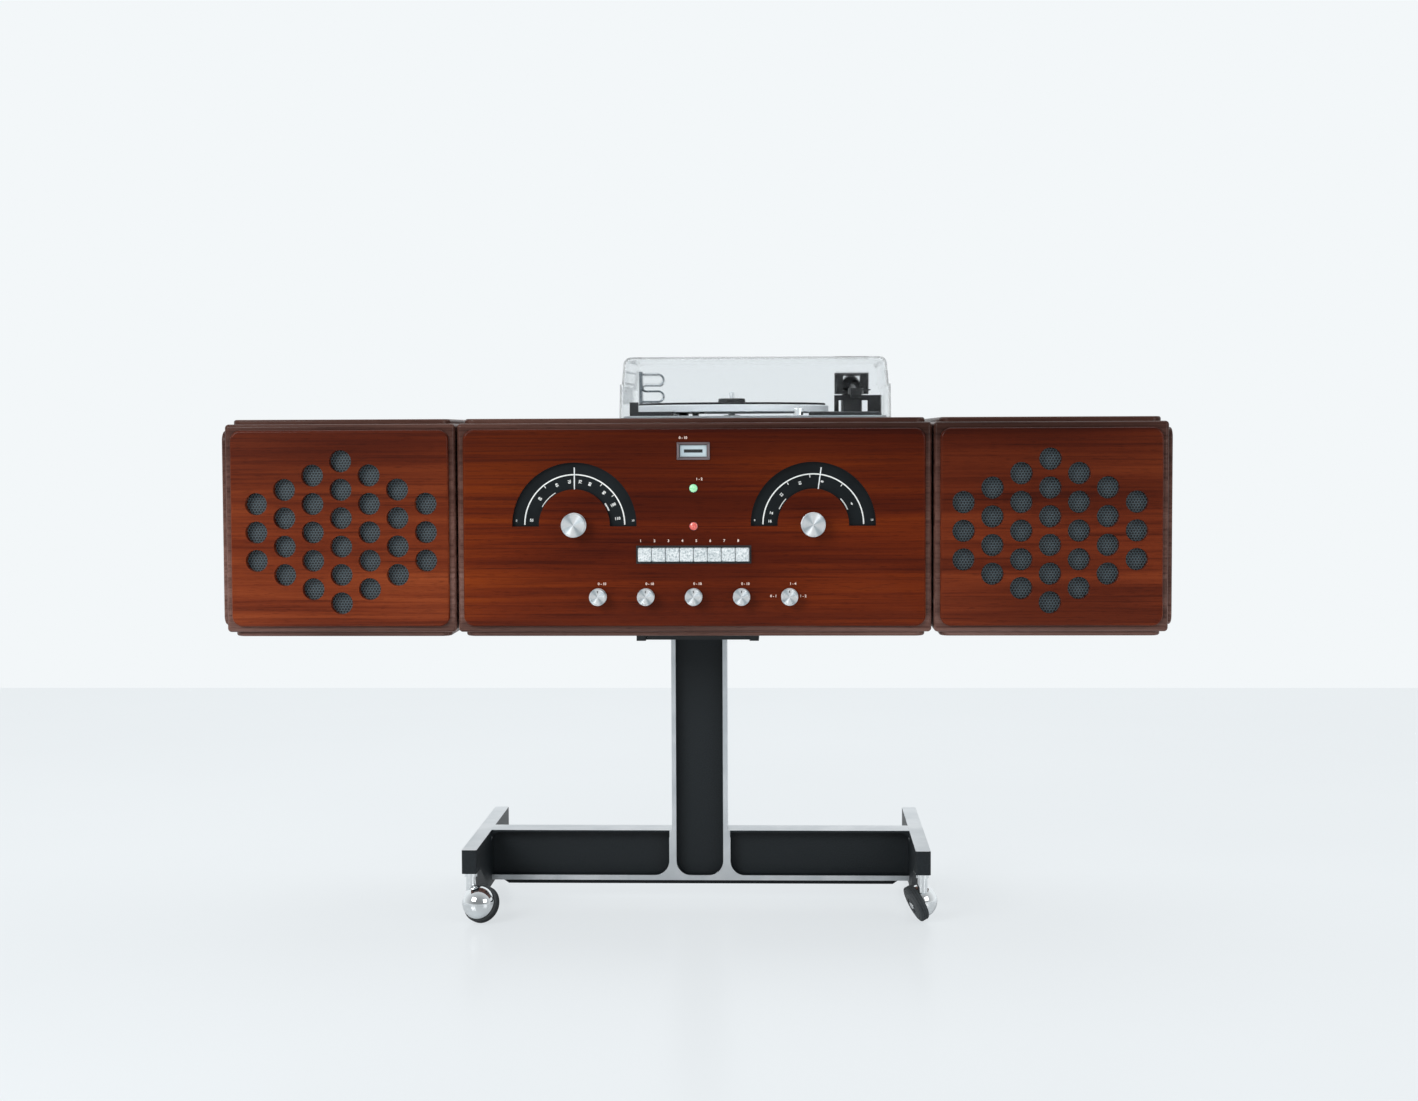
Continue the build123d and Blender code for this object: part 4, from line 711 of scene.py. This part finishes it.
# Push buttons: silver-grey moulded plastic, dished finger plates with soft edges and a pebbled face
buttons = {"count": 8, "pitch": 18.2, "gap": 0.5, "height": 18.0, "row": 491.0, "proud": 7.0, "long": 12.0,
           "edge": 1.1, "rim": 1.6, "dish": 0.5, "stem": 2.5}
buttonPlastic, tree, shader = newMaterial("pebbledSilverPlastic", "#D5DDDC", {
    "Metallic": 0.15, "Coat Weight": 0.3, "Coat Roughness": 0.15})
grain, cloud, relief = addSurface(tree, shader, 2.2, 0.25, (0.28, 0.45))
addTone(tree, shader, grain, [(0.30, "#A4B0B4"), (0.48, "#D2DADC"), (0.66, "#F0F4F5")])
for place in range(buttons["count"]):
    x = (place - (buttons["count"] - 1) / 2) * buttons["pitch"]
    half = (buttons["pitch"] - buttons["gap"]) / 2
    front = boardFront - buttons["proud"]
    button = addBlock((x - half, front, buttons["row"] - buttons["height"] / 2),
                      (x + half, front + buttons["long"], buttons["row"] + buttons["height"] / 2))
    bevelPiece(button, buttons["edge"] * mm, segments=3)
    editPiece(button)
    pickFaces(lambda middle, normal: normal.y < -0.9)
    bpy.ops.mesh.inset(thickness=buttons["rim"] * mm)
    bpy.ops.mesh.inset(thickness=0.7 * mm, depth=-buttons["dish"] * mm)
    stem = addTurned((x, front + buttons["long"], buttons["row"]), "back", buttons["stem"],
                     [(0, 15.5), (0.4, 0.5)], sides=20)
    button = joinPieces([button, stem])
    finishPiece(button, "button_cap_%d" % (place + 1), "button_%d" % (place + 1), buttonPlastic,
                ("push_button_%d" % (place + 1),), smooth=40)
print("buttons made")


# Dials: blue-black lacquered plate with a printed arc, and plain numbers written along its radius
dial = {"arcRadius": 65.6, "arcWidth": 1.6, "numberRadius": 56.8, "numberSize": 5.0, "endRadius": 76.6,
        "endSize": 3.6, "tick": (61.0, 64.6, 0.9), "innerArc": 48.6, "face": -163.6, "print": 0.14,
        "left": {"numbers": {-84: "55", -53: "60", -24: "65", -7: "70", 8: "75", 21: "80", 43: "90",
                             63: "100", 82: "110"},
                 "ticks": (-38, 34, 53), "arcs": ((-61, -31, 1.1), (55, 68, 2.0))},
        "right": {"numbers": {-86: "16", -75: "14", -47: "12", -18: "10", 12: "8", 62: "6"},
                  "ticks": (-32, -4, 36), "arcs": ((-66, -47, 1.3), (47, 67, 1.6))}}
dialLacquer, tree, shader = newMaterial("dialLacquer", "#0D1519", {
    "Coat Weight": 0.15, "Coat Roughness": 0.12, "Specular IOR Level": 0.2})
grain, cloud, relief = addSurface(tree, shader, 1.0, 0.01, (0.30, 0.42))
addTone(tree, shader, cloud, [(0.3, "#080D10"), (0.7, "#10181C")])
dress("dial_scales", dialLacquer)


def printArc(centreX, radius, width, start, end):
    # a thin raised band round the dial, from one angle to another, clockwise from the top
    steps = max(2, int(abs(end - start) / 3))
    deselectAll()
    bpy.ops.mesh.primitive_plane_add(size=1)
    band = bpy.context.object
    editPiece(band)
    bpy.ops.mesh.delete(type="FACE")
    bpy.ops.object.mode_set(mode="OBJECT")
    angle = radians(start)  # spin turns anticlockwise as seen from the front
    inner, outer = (radius - width / 2) * mm, (radius + width / 2) * mm
    bandBody = bmesh.new()
    ends = [bandBody.verts.new((sin(angle) * r, 0, cos(angle) * r)) for r in (inner, outer)]
    bandBody.edges.new(ends)
    bandBody.to_mesh(band.data)
    bandBody.free()
    editPiece(band)
    bpy.ops.mesh.select_mode(type="EDGE")
    bpy.ops.mesh.select_all(action="SELECT")
    bpy.ops.mesh.spin(steps=steps, angle=radians(start - end), center=(0, 0, 0), axis=(0, 1, 0))
    bpy.ops.mesh.select_all(action="SELECT")
    bpy.ops.mesh.extrude_region_move(TRANSFORM_OT_translate={"value": (0, -dial["print"] * mm, 0)})
    bpy.ops.object.mode_set(mode="OBJECT")
    return placePiece(band, (centreX * mm, dial["face"] * mm, dialZ * mm))


def printTick(centreX, angle, fromRadius, toRadius, width):
    tick = addBlock((-width / 2, -dial["print"], fromRadius), (width / 2, 0, toRadius))
    return placePiece(tick, (centreX * mm, dial["face"] * mm, dialZ * mm), (0, radians(angle), 0))


for side, sign in (("left", -1), ("right", 1)):
    centreX = sign * dialX
    marks = [printArc(centreX, dial["arcRadius"], dial["arcWidth"], -90, 90)]
    for angle, number in dial[side]["numbers"].items():
        place = (centreX + sin(radians(angle)) * dial["numberRadius"], dial["face"] - 0.05,
                 dialZ + cos(radians(angle)) * dial["numberRadius"])
        marks.append(addText(number, dial["numberSize"], place, angle + (90 if angle < 0 else -90), 0.08))
    for angle in dial[side]["ticks"]:
        marks.append(printTick(centreX, angle, *dial["tick"]))
    for angle, number in ((-86, "0"), (86, "10")):
        place = (centreX + sin(radians(angle)) * dial["endRadius"], dial["face"] - 0.05,
                 dialZ + cos(radians(angle)) * dial["endRadius"])
        marks.append(addText(number, dial["endSize"], place, angle + (90 if angle < 0 else -90), 0.08))
    for start, end, width in dial[side]["arcs"]:
        marks.append(printArc(centreX, dial["innerArc"], width, start, end))
    finishPiece(joinPieces(marks), "dial_print_" + side, "cabinet", printInk)
print("dials printed")


# Small printed marks above the controls: plain numbers in warm white
label = {"size": 4.6, "thick": 0.05, "row": 508.9, "knobRow": 452.6, "buttonShift": -5.6, "knobShift": 4.8}
labelInk = plainFinish("screenPrintedWarmInk", [(0.35, "#E9CDBF"), (0.65, "#F6E0D4")], {}, 0.5, 0.02,
                       (0.45, 0.6))
labels = [("0 - 10", -13.3, 643.2), ("1 - 2", 7.6, 589.4), ("0 - 1", 104.0, 436.4), ("1 - 2", 142.6, 436.4),
          ("1 - 4", 129.4, label["knobRow"])]
for place in range(buttons["count"]):
    x = (place - (buttons["count"] - 1) / 2) * buttons["pitch"] + label["buttonShift"]
    labels.append((str(place + 1), x, label["row"]))
for place in range(len(smallKnobs["names"]) - 1):
    labels.append(("0 - 10", (place - 2) * smallKnobs["pitch"] + label["knobShift"], label["knobRow"]))
marks = [addText(words, label["size"], (x, boardFront - 0.06, z), 0, label["thick"])
         for words, x, z in labels]
finishPiece(joinPieces(marks), "front_marks", "cabinet", labelInk)


# Signal meter: satin pewter frame, sunk silver window with a dark slot, and a red needle
meter = {"wide": 43.0, "high": 23.0, "height": 626.0, "proud": 2.2, "rim": 3.2, "sunk": 3.0,
         "slot": (23.0, 5.2), "caseInset": 2.2, "caseDeep": 26.0}
pewter = plainFinish("satinPewter", [(0.35, "#655A5C"), (0.65, "#786C6F")], {"Metallic": 0.5}, 0.5, 0.02,
                     (0.3, 0.42), stretch=(14, 1, 1))
silverFace = plainFinish("brushedSilverFace", [(0.35, "#B4C4CC"), (0.65, "#CBDAE0")], {"Metallic": 0.25},
                         0.35, 0.015, (0.30, 0.42), stretch=(24, 1, 1))
# black for the painted shade inside the meter's slot
slotPaintedShade = plainFinish("slotPaintedShade", [(0.35, "#101418"), (0.65, "#1C2226")], {}, 1.0, 0.01, (0.35, 0.5))
needleRed = plainFinish("needleRed", [(0.35, "#B8362C"), (0.65, "#CC4438")], {}, 0.6, 0.01, (0.35, 0.5))
halfW, halfH, mz = meter["wide"] / 2, meter["high"] / 2, meter["height"]
frontY = boardFront - meter["proud"]
frameRing = addBlock((-halfW, frontY, mz - halfH), (halfW, boardFront, mz + halfH))
bevelPiece(frameRing, 0.7 * mm, segments=2)
editPiece(frameRing)
pickFaces(lambda middle, normal: normal.y < -0.9)
bpy.ops.mesh.inset(thickness=meter["rim"] * mm)
bpy.ops.mesh.inset(thickness=0.5 * mm, depth=-0.5 * mm)
bpy.ops.mesh.extrude_region_move(TRANSFORM_OT_translate={"value": (0, meter["sunk"] * mm, 0)})
bpy.ops.object.mode_set(mode="OBJECT")
frameRing.data.materials.append(pewter)
inner = (halfW - meter["rim"] - 0.6, halfH - meter["rim"] - 0.6)
plateY = frontY + 0.5 + meter["sunk"]
plate = addBlock((-inner[0], plateY - 1.6, mz - inner[1]), (inner[0], plateY - 0.1, mz + inner[1]))
bevelPiece(plate, 0.4 * mm, segments=1)
editPiece(plate)
pickFaces(lambda middle, normal: normal.y < -0.9)
bpy.ops.mesh.inset(thickness=(inner[1] - meter["slot"][1] / 2) * mm)
bpy.ops.mesh.inset(thickness=0.2 * mm, depth=-0.7 * mm)
bpy.ops.object.mode_set(mode="OBJECT")
plate.data.materials.append(silverFace)
# painted shade: a thin black plate in the slot stands for the shade inside the meter
slotShadePlate = addBlock((-meter["slot"][0] / 2, plateY - 0.98, mz - meter["slot"][1] / 2 + 0.3),
                     (meter["slot"][0] / 2, plateY - 0.92, mz + meter["slot"][1] / 2 - 0.3))
slotShadePlate.data.materials.append(slotPaintedShade)
needle = addBlock((-6.2, plateY - 1.25, mz - 1.7), (-5.6, plateY - 1.0, mz + 1.7))
bevelPiece(needle, 0.1 * mm, 1)
needle.data.materials.append(needleRed)
caseW, caseH = halfW - meter["caseInset"], halfH - meter["caseInset"]
case = addBlock((-caseW, boardFront - 0.01, mz - caseH), (caseW, boardFront + meter["caseDeep"], mz + caseH))
bevelPiece(case, 1.0 * mm, 2)
case.data.materials.append(blackAbs)
finishPiece(joinPieces([frameRing, plate, slotShadePlate, needle, case]), "signal_meter", "cabinet",
            stands=("tuning_meter",))

# Pilot lamps: twelve-sided cut jewels of coloured acrylic over a small bulb, in a thin black ring
jewels = {"radius": 5.8, "lamps": {"stereo_lamp": (577.5, "#86D29C", "#B4E6BE", 0.26, "green_jewel"),
                                   "power_lamp": (528.0, "#C64A42", "#EC9086", 0.18, "red_jewel")}}
for node, (height, deep, bright, glowStrength, slotName) in jewels["lamps"].items():
    jewelPlastic, tree, shader = newMaterial("cutAcrylic_" + node, deep, {
        "Roughness": 0.12, "Coat Weight": 0.6, "Coat Roughness": 0.05, "Emission Color": toLinear(bright),
        "Emission Strength": glowStrength, "Subsurface Weight": 0.2, "Subsurface Scale": 0.002})
    speck = addNode(tree, "ShaderNodeTexVoronoi", {"Scale": 1 / (2.2 * mm)}, {"Vector": objectPlace(tree)})
    addTone(tree, shader, speck.outputs["Distance"], [(0.1, bright), (0.6, deep)])
    ring = addTurned((0, boardFront + 0.2, height), "front", jewels["radius"],
                     [(0, 0.9), (0.2, 0.2), (0.3, 0.0), (0.1, -0.4)], sides=48)
    ring.data.materials.append(blackPaint)
    jewel = addTurned((0, boardFront + 0.1, height), "front", jewels["radius"] - 0.45,
                      [(0, 1.4), (0.9, 0.9), (1.6, 0.6), (1.3, 0.2)], sides=12)
    jewel.data.materials.append(jewelPlastic)
    holder = addTurned((0, boardFront + 0.3, height), "back", jewels["radius"] - 1.6, [(0, 26), (0.6, 1.6)],
                       sides=32)
    holder.data.materials.append(blackAbs)
    finishPiece(joinPieces([ring, jewel, holder]), "jewel_" + node, "cabinet", stands=(node,),
                smooth=20)
print("meter and lamps made")


# Deck: pressed plate, platter, ribbed mat and the mouldings round it
deck = {"centre": (46.0, 10.0), "matRadius": 129.0, "matBase": 687.0, "matTop": 690.0, "puckRadius": 19.0,
        "ribCount": 24, "ribDepth": 0.7, "ribsEndFromPuck": 6.0}
platterMetal = spunAluminium("spunAluminiumPlatter", deck["centre"] + (0,), (1.0, 1.0, 0.0), 1.2,
                             [(0.3, "#DCE1E5"), (0.7, "#F0F3F5")])
softCopy("platter", "record_platter", platterMetal, "platter", smooth=40)
# Moulded rubber of the record mat: dull black
matRubber = plainFinish("mouldedRubberMat", [(0.35, "#121315"), (0.65, "#1E2022")],
                        {"Specular IOR Level": 0.35}, 0.7, 0.04, (0.55, 0.75))
ribs = [(0, 2.3), (1.2, 0.7)]
for rib in range(deck["ribCount"]):
    ribs += [(1.4, 0.0), (0.4, -deck["ribDepth"]), (0.8, 0.0), (0.4, deck["ribDepth"])]
    if deck["matRadius"] - sum(step[0] for step in ribs) < deck["puckRadius"] + deck["ribsEndFromPuck"]:
        break
mat = addTurned(deck["centre"] + (deck["matBase"],), "up", deck["matRadius"], ribs, sides=120)
mat.data.materials.append(matRubber)
puck = addTurned(deck["centre"] + (deck["matTop"],), "up", deck["puckRadius"],
                 [(0.0, 1.0), (-0.0001, 0.8), (0.8, 4.6), (1.2, 0.6), (4.0, 0.0), (0.5, -0.5), (6.5, 0.0),
                  (0.3, 0.4)], sides=72)
puck.data.materials.append(blackAbs)
finishPiece(joinPieces([mat, puck]), "ribbed_mat_and_puck", "platter", stands=("platter_mat",),
            smooth=24)

softCopy("deck_mouldings", "deck_trims", blackAbs, "cabinet", edge=0.4)
softCopy("arm_gimbal", "arm_yoke", blackAbs, "gimbal", edge=0.4)
softCopy("tonearm", "pickup_arm", blackAbs, "arm", edge=0.3)
softCopy("counterweight", "arm_weight", blackPaint, "arm", edge=0.2)
softCopy("speed_lever", "speed_switch", chromePlate, "speed", edge=0.3)
# Hard-drawn spring steel, bright but a little dark between its highlights
springSteel = plainFinish("hardDrawnSteelWire", [(0.35, "#6E767B"), (0.65, "#8D959A")], {"Metallic": 1.0},
                          1.5, 0.02, (0.12, 0.20))
softCopy("cover_spring", "cover_wire_spring", springSteel, "cover", smooth=50)
print("deck made")

# Back: raised-head screws round the board, moulded socket rings with their contacts, and two terminals
back = {"face": 186.0, "screwX": (-284, -142, 0, 142, 284), "screwZ": (411.0, 641.0), "screwRadius": 3.8,
        "sockets": (-190.0, -156.0, -122.0, -88.0), "row": 452.0, "sunk": 182.0, "ring": 8.8, "contacts": 5,
        "terminals": (-60.0, -46.0), "nut": 4.6}
parts = []
for z in back["screwZ"]:
    for x in back["screwX"]:
        screw = addTurned((x, back["face"], z), "back", back["screwRadius"],
                          [(0, 0.7), (0.6, 0.7), (1.4, 0.35)], sides=28)
        screw.data.materials.append(zincPlate)
        # painted shade: a thin black bar on each head stands for the shade in its slot
        slotShadeBar = addBlock((x - 2.4, back["face"] + 1.6, z - 0.4), (x + 2.4, back["face"] + 1.85, z + 0.4))
        slotShadeBar.data.materials.append(blackPaint)
        parts += [screw, slotShadeBar]
finishPiece(joinPieces(parts), "back_screws", "cabinet")
parts = []
for x in back["sockets"]:
    ring = addTurned((x, back["sunk"] - 1.0, back["row"]), "back", back["ring"],
                     [(0, 2.4), (0.6, 0.6), (1.2, 0), (0.5, -0.6), (0, -2.0)], sides=48)
    ring.data.materials.append(blackAbs)
    parts.append(ring)
    for contact in range(back["contacts"]):
        turn = radians(180 / (back["contacts"] - 1) * contact)
        spot = (x + cos(turn) * 3.6, back["sunk"] - 1.0, back["row"] + 1.2 - sin(turn) * 3.6)
        pin = addTurned(spot, "back", 0.9, [(0, 0.6), (0.3, 0.3)], sides=16)
        pin.data.materials.append(chromePlate)
        parts.append(pin)
finishPiece(joinPieces(parts), "back_socket_rings", "cabinet")
parts = []
for x in back["terminals"]:
    nut = addTurned((x, back["sunk"] - 0.1, back["row"]), "back", back["nut"],
                    [(0, 2.2), (0.5, 0.4), (1.4, 0), (0, 1.2), (0.5, 0.3)], sides=6)
    nut.data.materials.append(zincPlate)
    parts.append(nut)
finishPiece(joinPieces(parts), "back_terminals", "cabinet")
print("back dressed")

# Clear acrylic hood, injection moulded: nearly colourless, a little grey at its edges
clearAcrylic, tree, shader = newMaterial("clearMouldedAcrylic", "#F3F5F6", {
    "Roughness": 0.02, "IOR": 1.06, "Transmission Weight": 1.0, "Specular IOR Level": 1.0, "Alpha": 0.85})
softCopy("dust_cover", "clear_hood", clearAcrylic, "cover", smooth=35)
print("cover made")

# Ball casters: chromed hoods over inclined wheels, each with a tyre with two grooves, a moulded disc and a
# chromed hub cap
caster = {"near": 1.0, "radius": 25.0, "capRadius": 5.0,
          "tyre": [(-1.3, 0.5), (-0.7, 1.3), (0, 1.6), (0.8, 0.4), (0, 0.8), (-0.8, 0.4), (0, 1.4),
                   (0.8, 0.4), (0, 0.8), (-0.8, 0.4), (0, 1.2), (0.7, 1.3), (1.3, 0.5)],
          "disc": [(2.6, 0.35), (0.5, -0.7), (0.6, 0.0), (0.5, 0.8), (6.6, 1.3), (1.0, 0.0), (1.0, -1.4),
                   (1.6, 0.0)],
          "cap": [(0, 1.3), (0.7, 0.8), (1.8, 0.5), (1.6, 0.1)]}
# Moulded nylon of the wheel discs: dark grey, half dull
wheelDisc = plainFinish("mouldedNylonDisc", [(0.35, "#2E3336"), (0.65, "#3A4043")], {}, 1.2, 0.03,
                        (0.35, 0.5))
wheelPlaces = {joint["child"]: joint for joint in frame["joints"] if joint["name"].endswith("_roll")}
for corner in ("front_left", "front_right", "rear_left", "rear_right"):
    softCopy("caster_hood_" + corner, "chrome_hood_" + corner, chromePlate, "caster_" + corner,
             smooth=50)
    rolling = wheelPlaces["wheel_" + corner]
    axis = Vector(rolling["axis"]).normalized()
    facing = tuple(axis.to_track_quat("Z", "Y").to_euler())
    centre = Vector(rolling["pos_m"])
    start = [v / mm for v in centre + axis * caster["near"] * mm]
    tyre = addTurned(start, facing, caster["radius"] - 2.0, caster["tyre"], sides=96)
    tyre.data.materials.append(wheelRubber)
    rise = sum(step[1] for step in caster["tyre"])
    outer = [v / mm for v in centre + axis * (caster["near"] + rise - 0.05) * mm]
    disc = addTurned(outer, facing, caster["radius"] - 2.2, caster["disc"], sides=72)
    disc.data.materials.append(wheelDisc)
    hub = [v / mm for v in centre + axis * (caster["near"] + rise + 0.2) * mm]
    cap = addTurned(hub, facing, caster["capRadius"], caster["cap"], sides=40)
    cap.data.materials.append(chromePlate)
    finishPiece(joinPieces([tyre, disc, cap]), "tyred_wheel_" + corner, "wheel_" + corner,
                stands=("caster_wheel_" + corner,), smooth=40)
print("casters made")
